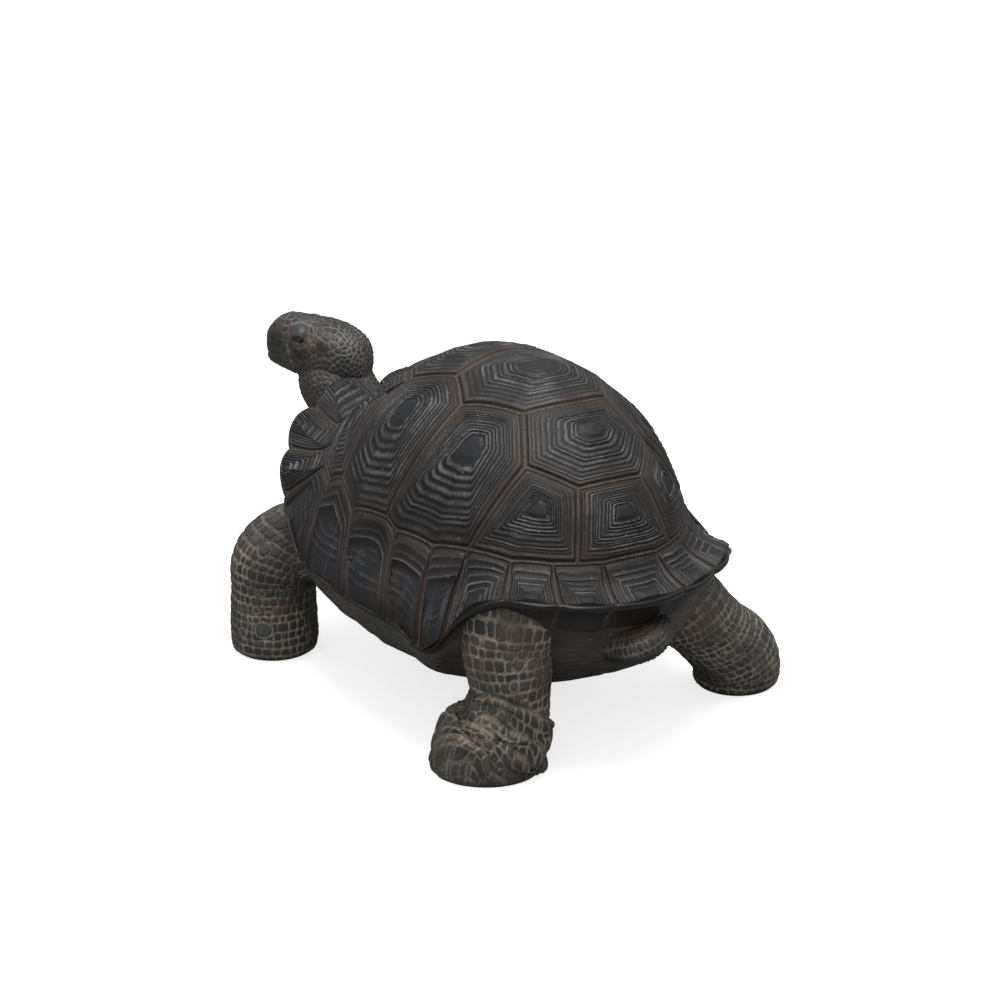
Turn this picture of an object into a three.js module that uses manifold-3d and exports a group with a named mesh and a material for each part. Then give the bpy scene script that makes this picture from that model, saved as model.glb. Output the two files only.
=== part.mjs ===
// A cast resin garden statue of a giant tortoise, walking with its head turned to its left.
// Millimetres, +X forward, +Y the animal's left, +Z up, with the floor at z = 0.
import * as THREE from "three";
import { mergeVertices } from "three/addons/utils/BufferGeometryUtils.js";
import Module from "manifold-3d";

const wasm = await Module();
wasm.setup();

// Driving dimensions. A list of three holds the value at the front, at the side and at the rear.
const gap = 0.35; // between neighbouring pieces
const belowFloor = [900, 900, 80]; // the block that trims the feet to the floor
const apex = { x: -31, z: 252 };
const rim = {
  radius: [188, 131, 196],
  height: [170, 97, 131],
  slope: [0, 95, 18],
  frontPower: 2.42,
  rearPower: 2.3,
};
const band = {
  radius: [152, 112, 161],
  height: [177, 151, 152],
  slope: [50, 79, 59],
  frontPower: 2.1,
  rearPower: 2,
};
const rightLean = 0.028; // the right shoulder is narrower than the left one by this share
const leanSpread = 1.6;
const broadPower = 1.6; // how soon the dome's front and rear give way to its sides
const bandAt = 0.8; // where the marginal plates begin, as a share of the way from the crown to the rim
const crownPull = 0.48; // how flat the crown is
const bandPull = 0.31; // how round the shoulder above the band is
const skirtPull = 0.4; // how round the marginal plates are
const frontTurn = [20, 73]; // degrees over which the front rim becomes the side rim
const rearTurn = [126, 152]; // degrees over which the side rim becomes the rear rim
const frontNip = { at: 26, width: 10, depth: 4.5 }; // the rim drawn in beside the nape
const hipLift = { at: 153, width: 16, height: 4.6 };
const hipCorner = { at: 132.5, width: 7, depth: [15, 4] }; // the rim's lowest corner, on the left and the right
const nuchalLift = { width: 17, height: 13, dip: 0.8 };
const scallop = { front: 9, rear: 2.5 };
const lip = [6, 1, 5]; // thickness of the rim's edge
const lipCorners = [
  [0, 0.6],
  [0.35, 1],
]; // inset and depth of the edge's corners, as shares of its thickness
const tuck = [26, 1.5, 19]; // how far the body wall stands inside the rim
const drop = [18, 1.2, 25]; // how far below the rim the shell meets the body wall
const ceiling = 118; // height of the joint between shell and body, at the middle
const plateLift = { seam: -2.4, edge: -1.1, shoulder: -0.3, step: 0.3, rise: 0.6, heart: 1.3 };
const belly = { height: 48, radius: [108, 82, 112], frontPower: 2.4, rearPower: 2.4 };
const wallBulge = { top: [6, 1.5, 6], topDrop: [50, 15, 26], foot: [42, 22, 40], footRise: [10, 6, 8] };
const jointShares = [1, 0.7, 0.35]; // rings of the joint between shell and body, as shares of its radius
const wallShares = [0.18, 0.36, 0.54, 0.7, 0.86, 1]; // rings of the body wall, from the joint to the belly
const wallSides = 58;
const sink = 0.8; // how far the body is drawn into the shell before it is cut clear of it

// Where the seams between the plates meet, in degrees from the nose and as a share of the way to the rim.
const bandSeams = [
  [0, 0.73],
  [30.5, 0.715],
  [41, 0.782],
  [48.5, 0.825],
  [57.8, 0.82],
  [81.5, 0.807],
  [109, 0.795],
  [126, 0.802],
  [138, 0.785],
  [150.4, 0.8],
  [160.7, 0.8],
  [172.4, 0.8],
];
const rimSeams = [0, 20, 36, 48, 70, 98, 119, 129.5, 137, 151, 161.5, 172.2];
const marginHeart = 0.93;
const costalFeet = { one: [18, 0.72], two: [65.7, 0.765], three: [102.5, 0.765], four: [166.3, 0.8] };
const spineSeams = [
  [0.375, 0.177],
  [0.07, 0.221],
  [-0.266, 0.147],
  [-0.55, 0.111],
];
const spineCorners = [
  [0.28, 0.257],
  [-0.099, 0.297],
  [-0.435, 0.227],
];
const costalBend = [
  [0.335, 0.315],
  [0.345, 0.497],
];
const vertebralHearts = [
  [0.56, 0],
  [0.17, 0],
  [-0.096, 0],
  [-0.375, 0],
  [-0.65, 0],
];
const costalHearts = [
  [0.5, 0.435],
  [0.125, 0.39],
  [-0.288, 0.33],
  [-0.575, 0.235],
];
const rimStep = 4.5; // degrees between the points of the rim
const seamStep = 0.08; // distance between the points of a seam
const slopeStep = 0.01; // distance over which the shell's slope is read
const nearly = 1e-4; // two points closer than this are one

// Rings of a plate: the share of the way from its seams to its heart, and the lift there.
const domeRings = [
  [0, plateLift.seam],
  [0.06, plateLift.edge],
  [0.3, plateLift.shoulder],
  [0.35, plateLift.step],
  [0.62, plateLift.rise],
  [0.68, plateLift.heart],
];
const marginRings = [
  [0, plateLift.seam],
  [0.08, plateLift.edge],
  [0.44, plateLift.shoulder],
  [0.52, plateLift.step],
];

// Legs, neck and tail. A station is [x, y, z, half length along the heading, half width].
const legs = {
  leg_front_left: {
    heading: -20,
    stations: [
      [136, 112, 0, 29, 29],
      [136, 112, 4, 31.5, 32],
      [136, 112, 22, 32, 32],
      [135, 112, 48, 31, 31],
      [133, 110, 68, 32, 32.5],
      [125, 100, 82, 31, 31],
      [108, 82, 89, 29, 29],
      [88, 62, 91, 26, 26],
    ],
    toes: { count: 5, spread: 100, reach: 29, size: 7 },
  },
  leg_front_right: {
    heading: -15,
    stations: [
      [112, -112, 0, 29, 28],
      [112, -112, 4, 32, 31],
      [112, -112, 24, 32, 31],
      [113, -112, 50, 31, 30],
      [114, -109, 72, 32, 31],
      [110, -98, 88, 31, 30],
      [98, -80, 93, 28, 28],
      [80, -62, 94, 25, 25],
    ],
    toes: { count: 5, spread: 110, reach: 29, size: 7 },
  },
  leg_hind_left: {
    heading: 60,
    stations: [
      [-122, 78, 0, 36, 29],
      [-122, 78, 4, 38.5, 31.5],
      [-122, 77, 17, 38, 32],
      [-124, 75, 24, 34, 31],
      [-125, 74, 29, 35, 31.5],
      [-127, 72, 36, 30.5, 29],
      [-128, 71, 41, 31, 30],
      [-130, 70, 50, 26.5, 27],
      [-131, 68, 70, 28, 29],
      [-130, 65, 90, 32, 32],
      [-127, 61, 108, 34.5, 34.5],
      [-118, 52, 120, 32, 32],
    ],
    toes: { count: 4, spread: 84, reach: 32, size: 9 },
  },
  leg_hind_right: {
    heading: -62,
    stations: [
      [-88, -147, 0, 29, 28],
      [-88, -147, 4, 31.5, 30.5],
      [-90, -146, 16, 31.5, 30.5],
      [-95, -136.5, 30, 30.5, 29.5],
      [-100, -120.5, 45, 28, 27],
      [-106, -103, 62, 27, 27],
      [-110, -84, 79, 29.5, 29.5],
      [-108, -62, 92, 30, 30],
    ],
    toes: { count: 4, spread: 84, reach: 27, size: 8 },
  },
};

const neckStations = [
  [132, 0, 106, 30, 30],
  [166, 0, 117, 30, 30],
  [198, -2, 131, 27, 26.5],
  [220, 1.5, 146, 28, 26.5],
  [233, 8, 164, 29, 26],
  [240, 12, 186, 21, 20],
];

const tailStations = [
  [-146, 10, 86, 11, 11],
  [-166, 8, 90, 11.5, 11.5],
  [-180, 4, 93, 11.5, 11.5],
  [-186, -4, 97, 11, 11],
  [-185, -12, 101, 10, 10],
  [-181, -18, 106, 8, 8],
  [-178, -21, 110, 5, 5],
];

const limbSides = 23;
const ankleStation = 3; // a leg stands upright below this station
const uprightPull = 1.6;
const tailSides = 13;
const neckHeading = 90;
const tailHeading = 0;
const nailShape = { stretch: [1.15, 0.72, 0.95], pitch: 22, rise: 0.75, detail: [9, 6] }; // blunt, half sunk
const ballDetail = [14, 10];
const weldDistance = 1e-3;

// The head, in its own frame: x forward, y left, z up, from the nape to the beak.
const headPlace = { x: 244, y: 15, z: 188, yaw: 45 };
const headStations = [
  // x, top, bottom, half width
  [-40, -2, -16, 8],
  [-37.3, 5.5, -21, 17],
  [-31, 12.5, -23.5, 23.5],
  [-20, 19.3, -24, 26],
  [-8, 22.8, -23, 26],
  [3, 24.2, -22, 25],
  [13, 25.5, -20.5, 22.5],
  [21, 26.6, -19, 19.5],
  [28, 25.6, -17, 16],
  [34, 22, -14.8, 12.5],
  [39, 16.8, -13, 9],
  [42, 12, -10.5, 4.5],
];
const headSteps = 17;
const headSides = 22;
const boxiness = 0.82; // exponent of the head's section, 1 for an ellipse
const cheekLine = 0.45; // height of the head's widest line, as a share of its depth
const eye = { x: 10, y: 14.2, z: 13, radius: 8, lid: 1.8 };
const eyeOpening = { x: 10.4, y: 23, z: 11.4, half: [4.4, 5, 3] };
const nostril = { x: 34, y: 8.6, z: 18, radius: 1.5 };
const mouth = {
  width: 1.3,
  depth: 1.4,
  sheet: 80,
  line: [
    [48, -3.5],
    [39, -5],
    [28, -2],
    [17, -4],
    [10, -8],
    [8, -11],
  ],
};

const radians = (degrees) => (degrees * Math.PI) / 180;
const clamp = (value, low = 0, high = 1) => Math.min(high, Math.max(low, value));
const smooth = (value) => clamp(value) ** 2 * (3 - 2 * clamp(value));
const mix = (list, weights) => list[0] * weights[0] + list[1] * weights[1] + list[2] * weights[2];
const bell = (value) => Math.exp(-(value ** 2));
const lerp = (from, to, share) => from + (to - from) * share;

// Cubic curve through two ends, with a handle at each.
function cubic(points, share) {
  const rest = 1 - share;
  const weights = [rest ** 3, 3 * rest ** 2 * share, 3 * rest * share ** 2, share ** 3];
  return [0, 1].map((axis) => weights.reduce((sum, weight, i) => sum + weight * points[i][axis], 0));
}

// Degrees away from the nose, on either side.
const turnOf = (phi) => Math.abs(THREE.MathUtils.radToDeg(Math.atan2(Math.sin(phi), Math.cos(phi))));

// Sharp weights of front, side and rear, which the rim's height follows.
function rimWeights(phi) {
  const turn = turnOf(phi);
  const front = smooth((frontTurn[1] - turn) / (frontTurn[1] - frontTurn[0]));
  const rear = smooth((turn - rearTurn[0]) / (rearTurn[1] - rearTurn[0]));
  return [front, 1 - front - rear, rear];
}

// Broad weights of front, side and rear, which the dome follows.
function domeWeights(phi) {
  const along = Math.abs(Math.cos(phi)) ** broadPower;
  return Math.cos(phi) > 0 ? [along, 1 - along, 0] : [0, 1 - along, along];
}

// Radius of a super-ellipse with its own length at the front and the rear.
function planRadius(ring, phi) {
  const ahead = Math.cos(phi) > 0;
  const power = ahead ? ring.frontPower : ring.rearPower;
  const length = ring.radius[ahead ? 0 : 2];
  const sum = Math.abs(Math.cos(phi) / length) ** power + Math.abs(Math.sin(phi) / ring.radius[1]) ** power;
  return sum ** (-1 / power);
}

// 0 in the middle of a marginal plate and 1 on its seams.
function seamCloseness(phi) {
  const turn = turnOf(phi);
  const marks = [...rimSeams, 360 - rimSeams.at(-1)];
  const i = marks.findIndex((mark, k) => k > 0 && turn <= mark);
  return Math.abs((2 * (turn - marks[i - 1])) / (marks[i] - marks[i - 1]) - 1) ** 2;
}

// The edge of the shell: its radius and height in the direction phi.
function rimEdge(phi) {
  const weights = rimWeights(phi);
  const turn = turnOf(phi);
  const near = seamCloseness(phi);
  const notch = (scallop.front * weights[0] ** 2 + scallop.rear * weights[2]) * near;
  const nip = frontNip.depth * bell((turn - frontNip.at) / frontNip.width);
  const hip = hipLift.height * bell((turn - hipLift.at) / hipLift.width);
  const depth = hipCorner.depth[Math.sin(phi) > 0 ? 0 : 1];
  const corner = depth * bell((turn - hipCorner.at) / hipCorner.width);
  const nuchal = nuchalLift.height * bell(turn / nuchalLift.width) * (1 - nuchalLift.dip * near);
  return { radius: planRadius(rim, phi) - notch - nip, height: mix(rim.height, weights) + hip - corner + nuchal };
}

// A point of the shell's smooth form: share is 0 at the crown and 1 at the rim.
function shellPoint(phi, share) {
  const weights = rimWeights(phi);
  const broad = domeWeights(phi);
  const edge = rimEdge(phi);
  const lean = 1 - rightLean * smooth(-leanSpread * Math.sin(phi));
  const seam = [planRadius(band, phi) * lean, mix(band.height, broad)];
  const seamSlope = radians(mix(band.slope, broad));
  const rimSlope = radians(mix(rim.slope, weights));
  const reach = Math.hypot(seam[0], apex.z - seam[1]) * bandPull;
  const dome = [
    [0, apex.z],
    [seam[0] * crownPull, apex.z],
    [seam[0] - reach * Math.cos(seamSlope), seam[1] + reach * Math.sin(seamSlope)],
    seam,
  ];
  const pull = skirtPull * Math.hypot(edge.radius - seam[0], edge.height - seam[1]);
  const skirt = [
    seam,
    [seam[0] + pull * Math.cos(seamSlope), seam[1] - pull * Math.sin(seamSlope)],
    [edge.radius - pull * Math.cos(rimSlope), edge.height + pull * Math.sin(rimSlope)],
    [edge.radius, edge.height],
  ];
  const onDome = share <= bandAt;
  const [radius, height] = onDome
    ? cubic(dome, share / bandAt)
    : cubic(skirt, clamp((share - bandAt) / (1 - bandAt)));
  const shift = apex.x * (1 - Math.min(1, share) ** 2);
  return new THREE.Vector3(shift + radius * Math.cos(phi), radius * Math.sin(phi), height);
}

// The same point from flat map coordinates, x forward and y left, with the rim at a distance of 1.
function mapPoint(x, y, lift = 0) {
  const at = (u, v) => shellPoint(Math.atan2(v, u), Math.hypot(u, v));
  if (lift === 0) return at(x, y);
  const inside = Math.min(1, (1 - slopeStep) / Math.hypot(x, y));
  const [u, v] = [x * inside, y * inside];
  const base = at(u, v);
  const normal = at(u + slopeStep, v).sub(base).cross(at(u, v + slopeStep).sub(base)).normalize();
  return at(x, y).addScaledVector(normal, lift);
}

function middleOf(row) {
  return row.reduce((sum, point) => sum.add(point), new THREE.Vector3()).divideScalar(row.length);
}

// Points and faces of a skin over rows of points that wrap round. Each given middle closes that end.
function skinOver(rows, { first, last }) {
  const across = rows[0].length;
  const points = rows.flat();
  const faces = [];
  const nextTo = (column) => (column + 1) % across;
  for (let row = 0; row + 1 < rows.length; row += 1) {
    for (let column = 0; column < across; column += 1) {
      const [a, b] = [row * across + column, row * across + nextTo(column)];
      faces.push([a, b, b + across], [a, b + across, a + across]);
    }
  }
  const end = (rows.length - 1) * across;
  for (let column = 0; column < across; column += 1) {
    if (first) faces.push([nextTo(column), column, points.length]);
    if (last) faces.push([end + column, end + nextTo(column), points.length + (first ? 1 : 0)]);
  }
  return { points: [...points, ...[first, last].filter(Boolean)], faces };
}

function geometryFrom({ points, faces }) {
  const geometry = new THREE.BufferGeometry();
  const numbers = points.flatMap((point) => point.toArray());
  geometry.setAttribute("position", new THREE.Float32BufferAttribute(numbers, 3));
  geometry.setIndex(faces.flat());
  return geometry;
}

const loft = (rows) => geometryFrom(skinOver(rows, { first: middleOf(rows[0]), last: middleOf(rows.at(-1)) }));

// A closed geometry as a manifold-3d solid, turned right side out.
function solidOf(geometry) {
  const bare = geometry.clone();
  bare.deleteAttribute("normal");
  bare.deleteAttribute("uv");
  const merged = mergeVertices(bare, weldDistance);
  const vertProperties = merged.attributes.position.array;
  const triVerts = new Uint32Array(merged.index.array);
  const solid = new wasm.Manifold(new wasm.Mesh({ numProp: 3, vertProperties, triVerts }));
  if (solid.volume() > 0) return solid;
  return new wasm.Manifold(new wasm.Mesh({ numProp: 3, vertProperties, triVerts: triVerts.reverse() }));
}

function geometryOf(solid) {
  const { vertProperties, triVerts } = solid.getMesh();
  const geometry = new THREE.BufferGeometry();
  geometry.setAttribute("position", new THREE.BufferAttribute(new Float32Array(vertProperties), 3));
  geometry.setIndex(new THREE.BufferAttribute(new Uint32Array(triVerts), 1));
  return geometry;
}

// The largest closed piece of a solid.
function largest(solid) {
  const pieces = solid.decompose();
  return pieces.reduce((best, piece) => (piece.volume() > best.volume() ? piece : best));
}

// A solid pushed out along its normals, for cutting its neighbours with a gap.
function grown(solid, amount) {
  const geometry = geometryOf(solid);
  geometry.computeVertexNormals();
  const { position, normal } = geometry.attributes;
  for (let i = 0; i < position.count; i += 1) {
    const moved = new THREE.Vector3().fromBufferAttribute(position, i);
    moved.addScaledVector(new THREE.Vector3().fromBufferAttribute(normal, i), amount);
    position.setXYZ(i, ...moved.toArray());
  }
  return solidOf(geometry);
}

function clearOf(solid, neighbours) {
  const cut = neighbours.reduce((rest, neighbour) => rest.subtract(grown(neighbour, gap)), solid);
  return largest(cut);
}

function joined(solids) {
  return largest(solids.reduce((sum, solid) => sum.add(solid)));
}

// Points of a straight seam, without its last one.
function seamPoints(from, to) {
  const count = Math.max(1, Math.round(Math.hypot(to[0] - from[0], to[1] - from[1]) / seamStep));
  return Array.from({ length: count }, (_, i) => [
    lerp(from[0], to[0], i / count),
    lerp(from[1], to[1], i / count),
  ]);
}

// One horn plate: its outline in the seams, then rings that rise in steps to the smooth heart.
function plateSkin(corners, heart, rings) {
  const outline = corners.flatMap((corner, i) => seamPoints(corner, corners[(i + 1) % corners.length]));
  const rows = rings.map(([share, lift]) => outline.map(([x, y]) => {
    const onRim = share === 0 && Math.hypot(x, y) > 1 - nearly;
    return mapPoint(lerp(x, heart[0], share), lerp(y, heart[1], share), onRim ? 0 : lift);
  }));
  return skinOver(rows, { last: mapPoint(heart[0], heart[1], rings.at(-1)[1]) });
}

const polar = ([degrees, share]) => [share * Math.cos(radians(degrees)), share * Math.sin(radians(degrees))];
const mirrored = ([x, y]) => [x, -y];

// The left half of the network of plates. Each entry lists the corners in order, then the heart.
function plateNetwork() {
  const top = bandSeams.map(polar);
  const feet = Object.values(costalFeet).map(polar);
  const sides = [
    [spineSeams[0], feet[0], ...top.slice(1, 5), feet[1], ...costalBend.toReversed(), spineCorners[0]],
    [spineCorners[0], ...costalBend, feet[1], top[5], feet[2], spineCorners[1], spineSeams[1]],
    [spineCorners[1], feet[2], top[6], top[7], top[8], spineCorners[2], spineSeams[2]],
    [spineCorners[2], top[8], top[9], top[10], feet[3], spineSeams[3]],
  ];
  const spine = [
    [top[0], feet[0], spineSeams[0]],
    [spineSeams[0], spineCorners[0], spineSeams[1]],
    [spineSeams[1], spineCorners[1], spineSeams[2]],
    [spineSeams[2], spineCorners[2], spineSeams[3]],
    [spineSeams[3], feet[3], top[11]],
  ];
  const extra = { 0: [feet[0]], 4: [feet[1]], 5: [feet[2]], 10: [feet[3]] };
  const margin = rimSeams.slice(1).map((to, i) => {
    const from = rimSeams[i];
    const heart = polar([(from + to) / 2, marginHeart]);
    return { corners: [...rimArc(from, to), top[i + 1], ...(extra[i] ?? []), top[i]], heart };
  });
  const end = rimSeams.at(-1);
  const tail = { corners: [...rimArc(end, 360 - end), mirrored(top[11]), top[11]], heart: [-marginHeart, 0] };
  return { sides, spine, margin, tail };
}

// Corners along the rim, every few degrees, with both ends.
function rimArc(from, to) {
  const count = Math.max(2, Math.round((to - from) / rimStep));
  return Array.from({ length: count + 1 }, (_, i) => polar([lerp(from, to, i / count), 1]));
}

// The rim's own points, all the way round, as the marginal plates end on them.
function rimOutline() {
  const left = rimSeams.slice(1).flatMap((to, i) => rimArc(rimSeams[i], to).slice(0, -1));
  const end = rimSeams.at(-1);
  return [...left, ...rimArc(end, 360 - end), ...left.slice(1).map(mirrored).reverse()];
}

// Every plate as its corners, heart and rings: the left ones, their mirror images and the middle ones.
function allPlates() {
  const { sides, spine, margin, tail } = plateNetwork();
  const pairs = [
    ...sides.map((corners, i) => [corners, costalHearts[i], domeRings]),
    ...margin.map(({ corners, heart }) => [corners, heart, marginRings]),
  ];
  const right = pairs.map(([corners, heart, rings]) => [corners.map(mirrored), mirrored(heart), rings]);
  const middle = spine.map((half, i) => {
    const whole = [...half, ...half.map(mirrored).reverse()];
    const distinct = whole.filter(([x, y], k) => {
      const before = whole.at(k - 1);
      return Math.hypot(x - before[0], y - before[1]) > nearly;
    });
    return [distinct, vertebralHearts[i], domeRings];
  });
  return [...pairs, ...right, ...middle, [tail.corners, tail.heart, marginRings]];
}

function carapaceSolid() {
  const skins = allPlates().map(([corners, heart, rings]) => {
    const area = THREE.ShapeUtils.area(corners.map(([x, y]) => new THREE.Vector2(x, y)));
    return plateSkin(area > 0 ? corners : corners.slice().reverse(), heart, rings);
  });
  skins.push(undersideSkin(rimOutline()));
  const points = [];
  const faces = [];
  for (const skin of skins) {
    faces.push(...skin.faces.map((face) => face.map((index) => index + points.length)));
    points.push(...skin.points);
  }
  return solidOf(geometryFrom({ points, faces }));
}

// A point of the joint between shell and body, in the direction phi, at a share of the joint's radius.
function jointPoint(phi, share) {
  const weights = rimWeights(phi);
  const edge = rimEdge(phi);
  const radius = share * (edge.radius - mix(tuck, weights));
  const height = edge.height - mix(drop, weights);
  return new THREE.Vector3(radius * Math.cos(phi), radius * Math.sin(phi), lerp(ceiling, height, share ** 2));
}

// The shell from its rim inwards: the lip, the faces that slope in to the body wall, and the joint.
function undersideSkin(outline) {
  const angles = outline.map(([x, y]) => Math.atan2(y, x));
  const lipRow = ([inset, depth]) => angles.map((phi) => {
    const thickness = mix(lip, rimWeights(phi));
    const edge = rimEdge(phi);
    const radius = edge.radius - inset * thickness;
    return new THREE.Vector3(radius * Math.cos(phi), radius * Math.sin(phi), edge.height - depth * thickness);
  });
  const joint = jointShares.map((share) => angles.map((phi) => jointPoint(phi, share)));
  const rows = [outline.map(([x, y]) => mapPoint(x, y)), ...lipCorners.map(lipRow), ...joint];
  const { points, faces } = skinOver(rows, { last: middleOf(joint.at(-1)) });
  return { points, faces: faces.map(([a, b, c]) => [a, c, b]) };
}

// The body below the shell: its top lies under the joint, and its wall curves in to the flat belly.
function torsoSolid() {
  const angles = Array.from({ length: wallSides }, (_, i) => (2 * Math.PI * i) / wallSides);
  const raised = (point) => point.setZ(point.z + sink);
  const joint = jointShares.map((share) => angles.map((phi) => raised(jointPoint(phi, share))));
  const wall = wallShares.map((share) => angles.map((phi) => wallPoint(phi, share)));
  return solidOf(loft([...joint.reverse(), ...wall]));
}

function wallPoint(phi, share) {
  const weights = rimWeights(phi);
  const top = jointPoint(phi, 1);
  const start = Math.hypot(top.x, top.y);
  const height = top.z + sink;
  const foot = planRadius(belly, phi);
  const curve = [
    [start, height],
    [start - mix(wallBulge.top, weights), height - mix(wallBulge.topDrop, weights)],
    [foot + mix(wallBulge.foot, weights), belly.height + mix(wallBulge.footRise, weights)],
    [foot, belly.height],
  ];
  const [radius, level] = cubic(curve, share);
  return new THREE.Vector3(radius * Math.cos(phi), radius * Math.sin(phi), level);
}

const smoothLine = (points) => new THREE.CatmullRomCurve3(points, false, "centripetal");

// A limb as a loft along a smooth line through its stations. A flat foot starts upright on the floor.
function limb(stations, steps, sides, heading, flatFoot = false) {
  const line = smoothLine(stations.map(([x, y, z]) => new THREE.Vector3(x, y, z)));
  const widths = smoothLine(stations.map(([, , , length, width], i) => new THREE.Vector3(length, width, i)));
  const pointer = new THREE.Vector3(Math.cos(radians(heading)), Math.sin(radians(heading)), 0);
  const rows = Array.from({ length: steps + 1 }, (_, step) => {
    const share = step / steps;
    const centre = line.getPoint(share);
    const size = widths.getPoint(share);
    const up = line.getTangent(share);
    const station = share * (stations.length - 1);
    const upright = flatFoot ? clamp(uprightPull * (1 - station / ankleStation)) : 0;
    up.lerp(new THREE.Vector3(0, 0, 1), upright).normalize();
    const side = new THREE.Vector3().crossVectors(up, pointer).normalize();
    const ahead = new THREE.Vector3().crossVectors(side, up).normalize();
    return Array.from({ length: sides }, (unused, i) => {
      const angle = (2 * Math.PI * i) / sides;
      const out = centre.clone().addScaledVector(ahead, size.x * Math.cos(angle));
      return out.addScaledVector(side, size.y * Math.sin(angle));
    });
  });
  if (flatFoot) rows[0].forEach((point) => point.setZ(0));
  return solidOf(loft(rows));
}

function nail(foot, bearing, toes) {
  const geometry = new THREE.SphereGeometry(toes.size, ...nailShape.detail);
  geometry.scale(...nailShape.stretch);
  geometry.rotateY(radians(nailShape.pitch));
  geometry.rotateZ(bearing);
  const [x, y] = [foot[0] + toes.reach * Math.cos(bearing), foot[1] + toes.reach * Math.sin(bearing)];
  geometry.translate(x, y, toes.size * nailShape.rise);
  return solidOf(geometry);
}

const floorBlock = solidOf(new THREE.BoxGeometry(...belowFloor).translate(0, 0, -belowFloor[2] / 2));

function legSolid({ heading, stations, toes }) {
  const nails = Array.from({ length: toes.count }, (_, i) => {
    const share = i / (toes.count - 1) - 0.5;
    return nail(stations[0], radians(heading + share * toes.spread), toes);
  });
  const steps = 2 * stations.length + 2;
  return joined([limb(stations, steps, limbSides, heading, true), ...nails]).subtract(floorBlock);
}

function headForm() {
  const crown = smoothLine(headStations.map(([x, top, , width]) => new THREE.Vector3(x, top, width)));
  const jaw = smoothLine(headStations.map(([x, , bottom, width]) => new THREE.Vector3(x, bottom, width)));
  const rows = Array.from({ length: headSteps + 1 }, (_, step) => {
    const top = crown.getPoint(step / headSteps);
    const bottom = jaw.getPoint(step / headSteps);
    const cheek = lerp(bottom.y, top.y, cheekLine);
    return Array.from({ length: headSides }, (unused, i) => {
      const angle = (2 * Math.PI * i) / headSides;
      const [c, s] = [Math.cos(angle), Math.sin(angle)];
      const out = bottom.z * Math.sign(c) * Math.abs(c) ** boxiness;
      const height = s > 0 ? top.y - cheek : cheek - bottom.y;
      return new THREE.Vector3(top.x, out, cheek + height * Math.sign(s) * Math.abs(s) ** boxiness);
    });
  });
  return solidOf(loft(rows));
}

function ball([x, y, z], radius, scale = [1, 1, 1]) {
  const geometry = new THREE.SphereGeometry(radius, ...ballDetail);
  geometry.rotateX(Math.PI / 2);
  geometry.scale(...scale);
  geometry.translate(x, y, z);
  return solidOf(geometry);
}

// The groove of the mouth: a thin sheet along its line, only as deep as it is cut.
function mouthGroove(head) {
  const half = mouth.width / 2;
  const upper = mouth.line.map(([x, z]) => new THREE.Vector2(x, z + half));
  const lower = mouth.line.map(([x, z]) => new THREE.Vector2(x, z - half)).reverse();
  const outline = new THREE.Shape([...upper, ...lower]);
  const sheet = new THREE.ExtrudeGeometry(outline, { depth: mouth.sheet, bevelEnabled: false });
  sheet.translate(0, 0, -mouth.sheet / 2);
  sheet.rotateX(Math.PI / 2);
  return solidOf(sheet).subtract(grown(head, -mouth.depth));
}

function headSolid(eyes) {
  const form = headForm();
  const lids = [];
  const cuts = [mouthGroove(form), ...eyes.map((solid) => grown(solid, gap))];
  for (const side of [1, -1]) {
    const onSide = ({ x, y, z }) => [x, side * y, z];
    lids.push(ball(onSide(eye), eye.radius + eye.lid));
    cuts.push(ball(onSide(eyeOpening), 1, eyeOpening.half));
    cuts.push(ball(onSide(nostril), nostril.radius));
  }
  return largest(cuts.reduce((rest, cut) => rest.subtract(cut), joined([form, ...lids])));
}

function placed(solid, place) {
  const geometry = geometryOf(solid);
  geometry.rotateZ(radians(place.yaw));
  geometry.translate(place.x, place.y, place.z);
  return solidOf(geometry);
}

const paint = {
  shell: { color: 0x2b2a28, roughness: 0.42 },
  belly: { color: 0x24221f, roughness: 0.55 },
  skin: { color: 0x3a352a, roughness: 0.62 },
  eye: { color: 0x0d0c0b, roughness: 0.15 },
};

function named(name, solid, look) {
  const mesh = new THREE.Mesh(geometryOf(solid), new THREE.MeshStandardMaterial({ ...look, metalness: 0 }));
  mesh.name = name;
  return mesh;
}

function tortoise() {
  const carapace = carapaceSolid();
  const body = torsoSolid();
  const torso = clearOf(body, [carapace]);
  const group = new THREE.Group();
  group.add(named("carapace", carapace, paint.shell));
  group.add(named("torso", torso, paint.belly));
  for (const [name, plan] of Object.entries(legs)) {
    group.add(named(name, clearOf(legSolid(plan), [carapace, body]), paint.skin));
  }
  const eyes = [1, -1].map((side) => ball([eye.x, side * eye.y, eye.z], eye.radius));
  const head = placed(headSolid(eyes), headPlace);
  group.add(named("head", head, paint.skin));
  group.add(named("eye_left", placed(eyes[0], headPlace), paint.eye));
  group.add(named("eye_right", placed(eyes[1], headPlace), paint.eye));
  const neck = limb(neckStations, 2 * neckStations.length, limbSides, neckHeading);
  group.add(named("neck", clearOf(neck, [carapace, body, head]), paint.skin));
  const tail = limb(tailStations, 2 * tailStations.length, tailSides, tailHeading);
  group.add(named("tail", clearOf(tail, [carapace, body]), paint.skin));
  const box = new THREE.Box3().setFromObject(group);
  group.position.set(-(box.min.x + box.max.x) / 2, -(box.min.y + box.max.y) / 2, -box.min.z);
  return group;
}

export default tortoise();
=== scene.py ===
# A hand-painted cast resin garden statue of a giant tortoise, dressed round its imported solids.
import math

import bpy
import numpy as np
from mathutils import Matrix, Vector
from mathutils.kdtree import KDTree


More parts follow.
